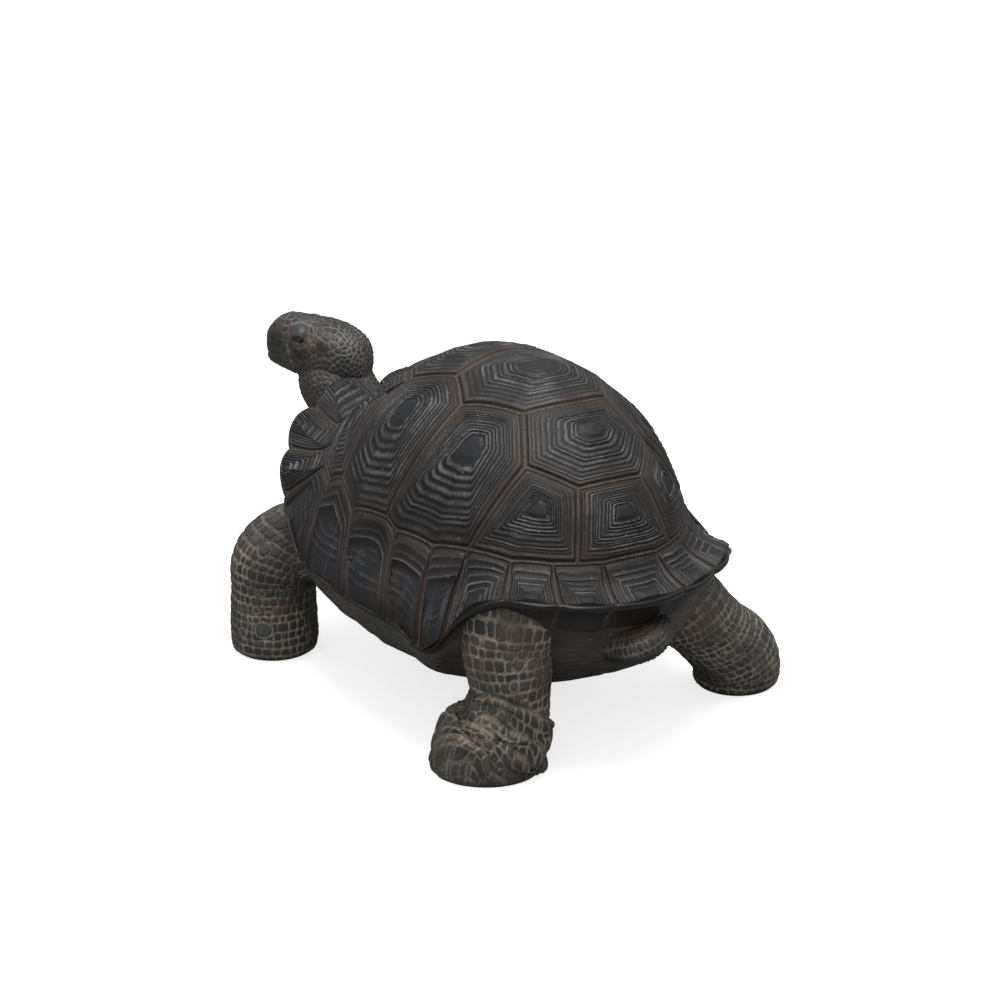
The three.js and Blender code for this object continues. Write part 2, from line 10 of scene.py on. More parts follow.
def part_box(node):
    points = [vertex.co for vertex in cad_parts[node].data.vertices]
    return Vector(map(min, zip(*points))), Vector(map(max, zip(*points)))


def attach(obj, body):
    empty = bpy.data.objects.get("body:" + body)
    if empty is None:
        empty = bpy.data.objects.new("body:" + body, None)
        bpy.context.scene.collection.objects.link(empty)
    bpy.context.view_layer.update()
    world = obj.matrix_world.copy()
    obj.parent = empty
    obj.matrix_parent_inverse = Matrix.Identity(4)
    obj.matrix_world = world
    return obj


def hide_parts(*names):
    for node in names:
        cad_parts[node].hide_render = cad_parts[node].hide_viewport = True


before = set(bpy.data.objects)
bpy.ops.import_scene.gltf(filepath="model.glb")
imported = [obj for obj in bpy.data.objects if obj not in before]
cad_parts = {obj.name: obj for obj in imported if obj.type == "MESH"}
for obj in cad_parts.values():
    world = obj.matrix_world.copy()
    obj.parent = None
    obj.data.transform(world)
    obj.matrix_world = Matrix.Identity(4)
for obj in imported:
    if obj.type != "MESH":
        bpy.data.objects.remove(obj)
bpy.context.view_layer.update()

mm = 0.001

# The statue's own lengths below are in millimetres, from the point under the middle of the shell.
headPlace = {"x": 244, "y": 15, "z": 188, "yaw": 45}
eyeBall = {"x": 10, "y": 14.2, "z": 13, "radius": 8}


def turned(x, y, degrees):
    c, s = math.cos(math.radians(degrees)), math.sin(math.radians(degrees))
    return x * c - y * s, x * s + y * c


def frameShift():  # from the statue's own point to the frame's, read off the left eye
    low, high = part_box("eye_left")
    x, y = turned(eyeBall["x"], eyeBall["y"], headPlace["yaw"])
    middle = (low + high) / 2 / mm
    return np.array([middle.x - headPlace["x"] - x, middle.y - headPlace["y"] - y, 0.0])


shift = frameShift()
print("frame loaded")


# plain sums and noise
def smoothStep(value):
    value = np.clip(value, 0, 1)
    return value * value * (3 - 2 * value)


def bell(distance, width):
    return np.exp(-((distance / width) ** 2))


def mixed(low, high, share):
    return low + (high - low) * share


def packed(*values):  # values side by side, as the parts of points, masks or cells
    return np.stack(np.broadcast_arrays(*values), axis=-1)


def unit(vectors):
    return vectors / np.maximum(np.linalg.norm(vectors, axis=-1, keepdims=True), 1e-9)


def threeWay(values, weights):
    return sum(value * weight for value, weight in zip(values, weights))


def hashed(cells, seed):  # a fixed random number from 0 to 1 for each whole-numbered cell
    mix = cells[..., 0] * 73856093 ^ cells[..., 1] * 19349663 ^ cells[..., 2] * 83492791 ^ seed * 26544357
    mix = (mix ^ (mix >> 13)) * 1274126177 & 0x7FFFFFFF
    mix = (mix ^ (mix >> 11)) * 668265263 & 0x7FFFFFFF
    return (mix >> 7 & 0xFFFF) / 65535


def cloud(points, size, seed):  # soft lumps of that size, from -1 to 1
    cell = np.floor(points / size).astype(np.int64)
    part = smoothStep(points / size - cell)
    total = 0
    for corner in np.ndindex(2, 2, 2):
        near = np.array(corner)
        weight = np.prod(np.where(near == 1, part, 1 - part), axis=-1)
        total = total + hashed(cell + near, seed) * weight
    return total * 2 - 1


def softened(values, width):  # a running mean round a closed row
    kernel = np.exp(-((np.arange(-3 * width, 3 * width + 1) / width) ** 2) / 2)
    kernel = kernel / kernel.sum()
    padded = np.concatenate([values[-3 * width:], values, values[: 3 * width]])
    return np.apply_along_axis(lambda row: np.convolve(row, kernel, "valid"), 0, padded)


# wrapped pieces: a fine sheet rolled up and closed, with its rows running from end to end
def readVectors(piece, label):  # the "co" or the "normal" of each point
    values = np.empty(len(piece.data.vertices) * 3, np.float32)
    piece.data.vertices.foreach_get(label, values)
    return values.reshape(-1, 3)


def movePoints(piece, points):
    piece.data.vertices.foreach_set("co", ((points + shift) * mm).astype(np.float32).ravel())


def addMasks(piece, masks):  # three masks for each point, under each name
    for label, values in masks.items():
        layer = piece.data.attributes.new(label, "FLOAT_VECTOR", "POINT")
        layer.data.foreach_set("vector", values.astype(np.float32).ravel())


def addWrap(name, grid, masks):
    rows, columns = grid.shape[0] - 1, grid.shape[1]
    bpy.ops.object.select_all(action="DESELECT")
    bpy.ops.mesh.primitive_grid_add(x_subdivisions=columns, y_subdivisions=rows, size=2, calc_uvs=False)
    piece = bpy.context.object
    piece.name = name
    piece.data.name = name
    x, y, z = readVectors(piece, "co").T
    row = np.rint((1 - y) / 2 * rows).astype(int)
    column = np.rint((x + 1) / 2 * columns).astype(int) % columns
    movePoints(piece, grid[row, column])
    addMasks(piece, {label: values[row, column] for label, values in masks.items()})
    bpy.ops.object.mode_set(mode="EDIT")
    bpy.ops.mesh.select_all(action="SELECT")
    bpy.ops.mesh.remove_doubles(threshold=1e-6)
    bpy.ops.mesh.normals_make_consistent(inside=False)
    bpy.ops.object.mode_set(mode="OBJECT")
    bpy.ops.object.shade_smooth()
    return piece


def gridNormals(grid):  # outwards where the rows run downwards, and inwards where they run upwards
    across = np.roll(grid, -1, axis=1) - np.roll(grid, 1, axis=1)
    return unit(np.cross(np.gradient(grid, axis=0), across))


def finishPiece(piece, slot, material, *nodes):
    piece.data.materials.clear()
    piece.data.materials.append(material)
    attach(piece, "root")
    if nodes:
        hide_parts(*nodes)


# the shell's form, as the solids have it: front, side and rear
shell = {
    "apex": (-31, 252),
    "rimRadius": (188, 131, 196),
    "rimHeight": (170, 97, 131),
    "rimSlope": (0, 95, 18),
    "rimPowers": (2.42, 2.3),
    "bandRadius": (152, 112, 161),
    "bandHeight": (177, 151, 152),
    "bandSlope": (50, 79, 59),
    "bandPowers": (2.1, 2),
    "bandAt": 0.8,
    "rightLean": 0.028,
    "leanSpread": 1.6,
    "broadPower": 1.6,
    "crownPull": 0.48,
    "bandPull": 0.31,
    "skirtPull": 0.4,
    "frontTurn": (20, 73),
    "rearTurn": (126, 152),
    "nip": {"at": 26, "width": 10, "depth": 4.5},
    "hip": {"at": 153, "width": 16, "height": 4.6},
    "corner": {"at": 132.5, "width": 7, "depth": (15, 4)},
    "nape": {"width": 17, "height": 13, "dip": 0.8},
    "scallop": (9, 2.5),
    "lip": (6, 1, 5),
    "tuck": (26, 1.5, 19),
    "drop": (18, 1.2, 25),
    "ceiling": 118,
}
# degrees round from the front at which the marginal plates meet
rimSeams = [0, 20, 36, 48, 70, 98, 119, 129.5, 137, 151, 161.5, 172.2]
rimMarks = np.array([*rimSeams, 360 - rimSeams[-1]])


def turnOf(phi):
    return np.degrees(np.abs(np.arctan2(np.sin(phi), np.cos(phi))))


def rimWeights(phi):
    turn = turnOf(phi)
    start, end = shell["frontTurn"]
    front = smoothStep((end - turn) / (end - start))
    start, end = shell["rearTurn"]
    rear = smoothStep((turn - start) / (end - start))
    return front, 1 - front - rear, rear


def domeWeights(phi):
    along = np.abs(np.cos(phi)) ** shell["broadPower"]
    ahead = np.cos(phi) > 0
    return np.where(ahead, along, 0), 1 - along, np.where(ahead, 0, along)


def planRadius(radius, powers, phi):
    ahead = np.cos(phi) > 0
    power = np.where(ahead, powers[0], powers[1])
    length = np.where(ahead, radius[0], radius[2])
    total = np.abs(np.cos(phi) / length) ** power + np.abs(np.sin(phi) / radius[1]) ** power
    return total ** (-1 / power)


def seamCloseness(phi):  # 0 in the middle of a marginal plate and 1 on its seams
    turn = turnOf(phi)
    i = np.clip(np.searchsorted(rimMarks, turn, side="left"), 1, len(rimMarks) - 1)
    return np.abs(2 * (turn - rimMarks[i - 1]) / (rimMarks[i] - rimMarks[i - 1]) - 1)


def rimEdge(phi):  # how far out the rim is, and how high
    weights = rimWeights(phi)
    turn = turnOf(phi)
    near = seamCloseness(phi) ** 2
    nip, hip, corner, nape = (shell[name] for name in ("nip", "hip", "corner", "nape"))
    notch = (shell["scallop"][0] * weights[0] ** 2 + shell["scallop"][1] * weights[2]) * near
    pinch = nip["depth"] * bell(turn - nip["at"], nip["width"])
    raised = hip["height"] * bell(turn - hip["at"], hip["width"])
    lowered = np.where(np.sin(phi) > 0, *corner["depth"]) * bell(turn - corner["at"], corner["width"])
    collar = nape["height"] * bell(turn, nape["width"]) * (1 - nape["dip"] * near)
    radius = planRadius(shell["rimRadius"], shell["rimPowers"], phi) - notch - pinch
    return radius, threeWay(shell["rimHeight"], weights) + raised - lowered + collar


def cubic(points, share):
    rest = 1 - share
    weights = [rest**3, 3 * rest**2 * share, 3 * rest * share**2, share**3]
    return [sum(w * p[axis] for w, p in zip(weights, points)) for axis in (0, 1)]


def shellPoint(x, y):  # a point of the smooth shell from the flat map, where the rim is at a distance of 1
    share, phi = np.hypot(x, y), np.arctan2(y, x)
    broad = domeWeights(phi)
    radius, height = rimEdge(phi)
    lean = 1 - shell["rightLean"] * smoothStep(-shell["leanSpread"] * np.sin(phi))
    seam = [
        planRadius(shell["bandRadius"], shell["bandPowers"], phi) * lean,
        threeWay(shell["bandHeight"], broad),
    ]
    seamSlope = np.radians(threeWay(shell["bandSlope"], broad))
    rimSlope = np.radians(threeWay(shell["rimSlope"], rimWeights(phi)))
    apexX, apexZ = shell["apex"]
    reach = np.hypot(seam[0], apexZ - seam[1]) * shell["bandPull"]
    handle = [seam[0] - reach * np.cos(seamSlope), seam[1] + reach * np.sin(seamSlope)]
    dome = [[0, apexZ], [seam[0] * shell["crownPull"], apexZ], handle, seam]
    pull = shell["skirtPull"] * np.hypot(radius - seam[0], height - seam[1])
    below = [seam[0] + pull * np.cos(seamSlope), seam[1] - pull * np.sin(seamSlope)]
    above = [radius - pull * np.cos(rimSlope), height + pull * np.sin(rimSlope)]
    bandAt = shell["bandAt"]
    inner = cubic(dome, np.minimum(share / bandAt, 1))
    outer = cubic([seam, below, above, [radius, height]], np.clip((share - bandAt) / (1 - bandAt), 0, 1))
    out, level = (np.where(share <= bandAt, inner[k], outer[k]) for k in (0, 1))
    slide = apexX * (1 - np.minimum(1, share) ** 2)
    return packed(slide + out * np.cos(phi), out * np.sin(phi), level)


def liftedPoint(x, y, lift):  # that point, moved out along the shell's normal
    step = 0.01
    inside = np.minimum(1, (1 - step) / np.maximum(np.hypot(x, y), step))
    base = shellPoint(x * inside, y * inside)
    ahead = shellPoint(x * inside + step, y * inside) - base
    aside = shellPoint(x * inside, y * inside + step) - base
    return shellPoint(x, y) + unit(np.cross(ahead, aside)) * np.asarray(lift)[..., None]


def polar(degrees, share):
    return share * math.cos(math.radians(degrees)), share * math.sin(math.radians(degrees))


def roundAngles(count):  # evenly spaced angles, once round
    return np.arange(count) / count * 2 * math.pi


# materials
def newMaterial(name, roughness, specular=0.5, coat=0.0, coatRoughness=0.1):
    material = bpy.data.materials.new(name)
    material.use_nodes = True
    shader = material.node_tree.nodes["Principled BSDF"]
    shader.inputs["Roughness"].default_value = roughness
    shader.inputs["Specular IOR Level"].default_value = specular
    shader.inputs["Coat Weight"].default_value = coat
    shader.inputs["Coat Roughness"].default_value = coatRoughness
    return material, material.node_tree, shader


def addNode(tree, kind, **settings):
    node = tree.nodes.new(kind)
    for key, value in settings.items():
        if key in node.inputs:
            node.inputs[key].default_value = value
        else:
            setattr(node, key, value)
    return node


def feed(tree, value, socket):  # a link where the value comes from another node, and else a constant
    if isinstance(value, bpy.types.NodeSocket):
        tree.links.new(value, socket)
    else:
        socket.default_value = (*value, 1) if isinstance(value, tuple) else value


def blendColour(tree, share, first, second):
    node = addNode(tree, "ShaderNodeMix", data_type="RGBA")
    for socket, value in ((node.inputs["Factor"], share), (node.inputs[6], first), (node.inputs[7], second)):
        feed(tree, value, socket)
    return node.outputs[2]


def layered(tree, base, layers):  # colours laid over one another, each through its mask
    for mask, colour in layers:
        base = blendColour(tree, mask, base, colour)
    return base


def compute(tree, operation, *values, clamp=False):
    node = addNode(tree, "ShaderNodeMath", operation=operation, use_clamp=clamp)
    for socket, value in zip(node.inputs, values):
        feed(tree, value, socket)
    return node.outputs[0]


def ramped(tree, value, low, high, toLow=0.0, toHigh=1.0):
    node = addNode(tree, "ShaderNodeMapRange", interpolation_type="SMOOTHSTEP")
    tree.links.new(value, node.inputs["Value"])
    for key, number in (("From Min", low), ("From Max", high), ("To Min", toLow), ("To Max", toHigh)):
        node.inputs[key].default_value = number
    return node.outputs["Result"]


def maskOf(tree, name):
    attribute = addNode(tree, "ShaderNodeAttribute", attribute_name=name)
    parts = addNode(tree, "ShaderNodeSeparateXYZ")
    tree.links.new(attribute.outputs["Vector"], parts.inputs[0])
    return parts.outputs


def newGroup(name, numbers, outputs):  # a node group with a Vector and named numbers going in
    group = bpy.data.node_groups.new(name, "ShaderNodeTree")
    group.interface.new_socket("Vector", in_out="INPUT", socket_type="NodeSocketVector")
    for label, value in numbers.items():
        socket = group.interface.new_socket(label, in_out="INPUT", socket_type="NodeSocketFloat")
        socket.default_value = value
    for label in outputs:
        group.interface.new_socket(label, in_out="OUTPUT", socket_type="NodeSocketFloat")
    return group, group.nodes.new("NodeGroupInput"), group.nodes.new("NodeGroupOutput")


def addNoise(group, inside, scale, detail, roughness=0.5):
    noise = addNode(group, "ShaderNodeTexNoise", Scale=scale, Detail=detail, Roughness=roughness)
    group.links.new(inside.outputs["Vector"], noise.inputs["Vector"])
    return noise.outputs["Fac"]


def makeBrushGroup():  # a dry brush catches a raised line here and there
    group, inside, outside = newGroup("dryBrush", {"Line": 0.0, "Cover": 0.5}, ["Mask"])
    patches = ramped(group, addNoise(group, inside, 38.0, 3.0), 0.34, 0.66, 0.25, 1.0)
    flecks = ramped(group, addNoise(group, inside, 520.0, 3.0), 0.3, 0.62, 0.35, 1.0)
    caught = compute(group, "MULTIPLY", compute(group, "MULTIPLY", patches, flecks), inside.outputs["Line"])
    covered = compute(group, "MULTIPLY", caught, inside.outputs["Cover"], clamp=True)
    group.links.new(covered, outside.inputs["Mask"])
    return group


def makeSpeckGroup():  # tiny pale specks of dust and spatter
    group, inside, outside = newGroup("specks", {"Share": 0.1}, ["Mask"])
    cells = addNode(group, "ShaderNodeTexVoronoi", Scale=260.0)
    group.links.new(inside.outputs["Vector"], cells.inputs["Vector"])
    tone = addNode(group, "ShaderNodeSeparateColor")
    group.links.new(cells.outputs["Color"], tone.inputs[0])
    chosen = compute(group, "LESS_THAN", tone.outputs[0], inside.outputs["Share"])
    dot = ramped(group, cells.outputs["Distance"], 0.08, 0.2, 1.0, 0.0)
    group.links.new(compute(group, "MULTIPLY", chosen, dot), outside.inputs["Mask"])
    return group


def makeGrainGroup():  # the skin of a cast and painted surface
    group, inside, outside = newGroup("castGrain", {}, ["Height", "Tone"])
    fine = addNoise(group, inside, 900.0, 4.0, 0.6)
    lumps = addNoise(group, inside, 170.0, 4.0, 0.55)
    tone = addNoise(group, inside, 26.0, 5.0, 0.6)
    group.links.new(compute(group, "MULTIPLY_ADD", fine, 0.35, lumps), outside.inputs["Height"])
    group.links.new(ramped(group, tone, 0.3, 0.7), outside.inputs["Tone"])
    return group


shared = {"brush": makeBrushGroup(), "specks": makeSpeckGroup(), "grain": makeGrainGroup()}


def placeGroup(tree, name, vector, **values):
    node = addNode(tree, "ShaderNodeGroup", node_tree=shared[name])
    tree.links.new(vector, node.inputs["Vector"])
    for key, value in values.items():
        feed(tree, value, node.inputs[key])
    return node.outputs


def placeSpecks(tree, place, share):  # specks that cover half of what is under them
    return compute(tree, "MULTIPLY", placeGroup(tree, "specks", place, Share=share)["Mask"], 0.5)


def startPaint(name, paint, coatRoughness=0.1):
    material, tree, shader = newMaterial(name, paint["roughness"], paint["specular"], 0, coatRoughness)
    place = addNode(tree, "ShaderNodeTexCoord").outputs["Object"]
    return material, tree, shader, place, placeGroup(tree, "grain", place)


def brushed(tree, place, line, cover):
    return placeGroup(tree, "brush", place, Line=line, Cover=cover)["Mask"]


def endPaint(tree, shader, colour, roughness, height, strength):  # the grain stands up by under half a mm
    tree.links.new(colour, shader.inputs["Base Color"])
    tree.links.new(roughness, shader.inputs["Roughness"])
    bump = addNode(tree, "ShaderNodeBump", Strength=strength, Distance=0.4 * mm)
    tree.links.new(height, bump.inputs["Height"])
    tree.links.new(bump.outputs["Normal"], shader.inputs["Normal"])


shellPaint = {
    "charcoal": (0.0195, 0.0198, 0.0212),
    "dark": (0.0095, 0.0095, 0.0098),
    "valley": (0.0045, 0.0045, 0.0047),
    "brown": (0.044, 0.031, 0.0235),
    "ridge": (0.132, 0.133, 0.137),
    "tan": (0.158, 0.134, 0.112),
    "seam": (0.165, 0.133, 0.105),
    "heart": (0.0165, 0.018, 0.022),
    "speck": (0.36, 0.35, 0.32),
    "ridgeCover": 1.1,
    "seamCover": 1.2,
    "specks": 0.03,
    "roughness": 0.42,
    "dull": 0.58,
    "grain": 0.35,
    "specular": 0.28,
}


def makeShellMaterial():  # charcoal plates, brown in the seams, with dry-brushed growth rings
    paint = shellPaint
    material, tree, shader, place, grain = startPaint("shellPaint", paint)
    crest, wash, heart = maskOf(tree, "paint")
    seam, valley, spare = maskOf(tree, "relief")
    tone = grain["Tone"]
    stain = compute(tree, "MULTIPLY", wash, ramped(tree, tone, 0.0, 1.0, 0.45, 1.0), clamp=True)
    ridge = blendColour(tree, wash, paint["ridge"], paint["tan"])
    base = layered(tree, paint["dark"], [
        (tone, paint["charcoal"]),
        # the hearts are painted darker than the plates, with a blue tint that is painted sheen
        (heart, paint["heart"]),
        (stain, paint["brown"]),
        (compute(tree, "MULTIPLY", valley, 0.9, clamp=True), paint["valley"]),
        (brushed(tree, place, crest, paint["ridgeCover"]), ridge),
        (brushed(tree, place, seam, paint["seamCover"]), paint["seam"]),
        (placeSpecks(tree, place, paint["specks"]), paint["speck"]),
    ])
    shine = ramped(tree, tone, 0.0, 1.0, paint["roughness"], paint["dull"])
    endPaint(tree, shader, base, shine, grain["Height"], paint["grain"])
    return material


# horn plates
plateSeams = {  # "band" and "feet" in degrees round and share of the way out, and the rest on the flat map
    "band": [
        (0, 0.73), (30.5, 0.715), (41, 0.782), (48.5, 0.825), (57.8, 0.82), (81.5, 0.807),
        (109, 0.795), (126, 0.802), (138, 0.785), (150.4, 0.8), (160.7, 0.8), (172.4, 0.8),
    ],
    "feet": [(18, 0.72), (65.7, 0.765), (102.5, 0.765), (166.3, 0.8)],
    "spine": [(0.375, 0.177), (0.07, 0.221), (-0.266, 0.147), (-0.55, 0.111)],
    "corners": [(0.28, 0.257), (-0.099, 0.297), (-0.435, 0.227)],
    "bend": [(0.335, 0.315), (0.345, 0.497)],
    "spineHearts": [(0.56, 0), (0.17, 0), (-0.096, 0), (-0.375, 0), (-0.65, 0)],
    "sideHearts": [(0.5, 0.435), (0.125, 0.39), (-0.288, 0.33), (-0.575, 0.235)],
}
plateRelief = {  # lengths in mm
    "beads": [(0, -0.9), (0.5, -1.15), (1.0, -1.75), (1.7, -1.6), (2.5, -1.05)],  # how far in, and lift
    "leastDepth": 4.0,
    "shoulder": -0.9,
    "heartLift": 1.7,
    "heartRise": 0.7,
    "ringWidths": (0.6, 1.4),
    "ringHeights": (0.4, 1.3),
    "ringSteps": [0.0, 0.16, 0.34, 0.5, 0.66, 0.84],
    "ringShape": [0.0, 0.5, 0.95, 1.0, 0.66, 0.18],
    "ringHeight": 0.95,
    "wobble": 0.2,
    "heartRows": 10,
    "rungRows": 34,
    "washReach": 7.5,
    "sink": 4.0,
    "rimSink": 1.2,
    "rimLift": 0.25,
    "rimReach": 2.2,
    "skirtShare": 0.2,
    "rungHeart": 0.55,
}
rungRelief = {  # the steps and streaks of the long side plates, in mm
    "wander": 1.6, "start": 3.0, "fade": 20.0, "height": 0.5, "streakWidth": 1.5, "streakHeight": 0.2,
    "streakRadius": 130.0, "streakStretch": 0.06,
}
domePlate = {
    "rings": 10, "heartAt": 0.8, "narrowing": 1.0, "columns": 236,
    "rungs": 0, "wash": 1.0, "bold": 1.1, "spread": 1.0,
}
rearPlate = {
    "rings": 5, "heartAt": 0.78, "narrowing": 0.9, "columns": 132,
    "rungs": 0, "wash": 0.5, "bold": 1.3, "spread": 0.6,
}
sidePlate = {
    "rings": 3, "heartAt": 0.36, "narrowing": 0.8, "columns": 132,
    "rungs": 6.2, "wash": 0.9, "bold": 0.7, "spread": 0.45,
}
frontPlate = {
    "rings": 8, "heartAt": 0.9, "narrowing": 0.95, "columns": 132,
    "rungs": 0, "wash": 0.6, "bold": 2.0, "spread": 0.75,
}


def mirrored(points):
    return [(x, -y) for x, y in points]


def bothSides(name, outline, heart, kind):
    sides = ("left", outline, heart), ("right", mirrored(outline), (heart[0], -heart[1]))
    return [(name.format(side), corners, place, kind) for side, corners, place in sides]


def rimArc(start, end):
    count = max(2, round((end - start) / 2))
    return [polar(start + (end - start) * i / count, 1) for i in range(count + 1)]


def plateList():  # every plate: its name, corners, heart and kind
    top = [polar(*seam) for seam in plateSeams["band"]]
    feet = [polar(*foot) for foot in plateSeams["feet"]]
    spine, corners, bend = plateSeams["spine"], plateSeams["corners"], plateSeams["bend"]
    sides = [
        [spine[0], feet[0], *top[1:5], feet[1], bend[1], bend[0], corners[0]],
        [corners[0], bend[0], bend[1], feet[1], top[5], feet[2], corners[1], spine[1]],
        [corners[1], feet[2], *top[6:9], corners[2], spine[2]],
        [corners[2], *top[8:11], feet[3], spine[3]],
    ]
    middle = [[top[0], feet[0], spine[0]]]
    middle += [[spine[i], corners[i], spine[i + 1]] for i in range(3)]
    middle += [[spine[3], feet[3], top[11]]]
    plates = []
    for i, (outline, heart) in enumerate(zip(sides, plateSeams["sideHearts"])):
        plates += bothSides(f"costal_{{}}_{i + 1}", outline, heart, domePlate)
    for i, (half, heart) in enumerate(zip(middle, plateSeams["spineHearts"])):
        whole = [*half, *reversed(mirrored(half))]
        whole = [point for k, point in enumerate(whole) if math.dist(point, whole[k - 1]) > 1e-6]
        plates.append((f"vertebral_{i + 1}", whole, heart, domePlate))
    extra = {0: [feet[0]], 4: [feet[1]], 5: [feet[2]], 10: [feet[3]]}
    for i, (start, end) in enumerate(zip(rimSeams, rimSeams[1:])):
        kind = frontPlate if i < 3 else rearPlate if i > 7 else sidePlate
        outline = [*rimArc(start, end), top[i + 1], *extra.get(i, []), top[i]]
        plates += bothSides(f"marginal_{{}}_{i + 1}", outline, polar((start + end) / 2, 0.99), kind)
    last = rimSeams[-1]
    outline = [*rimArc(last, 360 - last), *mirrored(top[11:]), top[11]]
    plates.append(("supracaudal", outline, (-0.99, 0), rearPlate))
    return plates


def evenOutline(corners, columns):  # the closed outline with evenly spaced points, anticlockwise
    x, y = np.transpose(corners)
    area = np.sum(x * np.roll(y, -1) - y * np.roll(x, -1))
    corners = np.array(corners if area > 0 else corners[::-1])
    edges = np.roll(corners, -1, axis=0) - corners
    fine = 60
    dense = [corner + edge * k / fine for corner, edge in zip(corners, edges) for k in range(fine)]
    dense = np.array(dense + dense[:1])
    solid = shellPoint(*dense.T)
    walked = np.concatenate([[0], np.cumsum(np.linalg.norm(np.diff(solid, axis=0), axis=1))])
    marks = np.linspace(0, walked[-1], columns, endpoint=False)
    return packed(np.interp(marks, walked, dense[:, 0]), np.interp(marks, walked, dense[:, 1]))


def ringMap(outline, heart, share, kind):  # the outline drawn in towards the heart
    if kind is domePlate:
        return [heart[axis] + (outline[:, axis] - heart[axis]) * (1 - share) for axis in (0, 1)]
    heartPhi, heartRho = math.atan2(heart[1], heart[0]), math.hypot(*heart)
    phi = np.arctan2(outline[:, 1], outline[:, 0]) - heartPhi
    phi = np.arctan2(np.sin(phi), np.cos(phi)) * (1 - share * kind["narrowing"]) + heartPhi
    rho = heartRho + (np.hypot(outline[:, 0], outline[:, 1]) - heartRho) * (1 - share)
    return [rho * np.cos(phi), rho * np.sin(phi)]


def rounded(outline, share):  # a ring's corners are softer the nearer it is to the heart
    return outline + (softened(outline, 4) - outline) * share


def plateDepth(start, outline, heart, kind):  # how far the heart is, square to the plate's edge
    step = 0.02
    inward = (shellPoint(*ringMap(outline, heart, step, kind)) - start) / step
    along = unit(np.roll(start, -1, axis=0) - np.roll(start, 1, axis=0))
    depth = np.linalg.norm(inward - along * np.sum(inward * along, axis=1, keepdims=True), axis=1)
    return softened(np.maximum(depth, plateRelief["leastDepth"]), 3)


def plateRows(start, depth, kind, seed):  # each row: share of the way in, lift, crest, seam bead, valley
    relief = plateRelief
    dice = np.random.default_rng(seed)
    widths = dice.uniform(*relief["ringWidths"], kind["rings"])
    widths = widths / widths.sum()
    heights = dice.uniform(*relief["ringHeights"], kind["rings"])
    none = np.zeros(kind["columns"])
    rows = []
    for inset, lift in relief["beads"]:
        rows.append((inset / depth, none + lift, none, bell(inset, 0.5), 0.4 * bell(inset - 1.2, 0.6)))
    edge = relief["beads"][-1][0] / depth
    begun = 0.0
    wander = (cloud(start, 26.0, seed) + 0.5 * cloud(start, 8.0, seed + 1)) * relief["wobble"]
    for ring in range(kind["rings"]):
        uneven = np.clip(0.75 + 0.6 * cloud(start + ring * 31.0, 14.0, seed + ring), 0.25, 1.3)
        for step, shape in zip(relief["ringSteps"], relief["ringShape"]):
            step = step and 0.5 + (step - 0.5) * kind["spread"]
            done = np.clip(begun + widths[ring] * (step + wander * (0.3 + step)), 0, 1.04)
            share = edge + (kind["heartAt"] - edge) * done
            level = mixed(relief["shoulder"], relief["heartLift"], (share * 0.8 / kind["heartAt"]) ** 0.8)
            strength = kind["bold"] * heights[ring] * uneven * (0.5 + 0.7 * done)
            lift = level + relief["ringHeight"] * strength * (shape - 0.3)
            crest = np.clip((shape - 0.45) / 0.55, 0, 1) * np.clip(strength * 1.2, 0.15, 1.3)
            rows.append((share, lift, crest, 0, (1 - shape) ** 2 * np.clip(0.25 + 0.75 * done, 0, 1)))
        begun += widths[ring]
    heartRows = relief["rungRows"] if kind["rungs"] else relief["heartRows"]
    for i in range(heartRows):
        part = (i + 0.6) / heartRows
        share = mixed(kind["heartAt"] + 0.015, 1.0, part**0.9)
        if kind["rungs"]:
            lift = mixed(relief["shoulder"], relief["heartLift"], 0.4) - 0.5
        else:
            lift = mixed(relief["shoulder"], relief["heartLift"], share**0.8)
            lift += relief["heartRise"] * smoothStep(part / 0.3)
        rows.append((none + share, none + lift, 0, 0, 0))
    return rows


def addRungs(place, fromRim, inHeart, marks, gap, seed):  # steps and streaks in place of a smooth heart
    relief = rungRelief
    x, y = place
    lift, crest, wash = marks
    solid = shellPoint(x, y)
    level = fromRim + relief["wander"] * cloud(solid, 18.0, seed + 3)
    down = smoothStep((fromRim - relief["start"]) / relief["fade"])
    rung = bell((level / gap) % 1 - 0.5, 0.1) * inHeart * down
    rung = rung * smoothStep(0.8 + 0.9 * cloud(solid, 9.0, seed + 4))
    stretched = packed(np.arctan2(y, x) * relief["streakRadius"], fromRim * relief["streakStretch"], 0)
    streaks = cloud(stretched, relief["streakWidth"], seed + 6)
    strokes = smoothStep(streaks * 1.6) * smoothStep(0.4 + cloud(solid, 12.0, seed + 7))
    lift = lift + relief["height"] * rung + relief["streakHeight"] * streaks * inHeart
    crest = np.maximum(crest * (0.35 + 0.65 * down), np.maximum(0.6 * rung, 0.4 * strokes * inHeart))
    stain = cloud(solid * np.array([1, 1, 0.3]), 9.0, seed + 8)
    return lift, crest, np.maximum(wash, 0.5 * smoothStep(stain + 0.1))


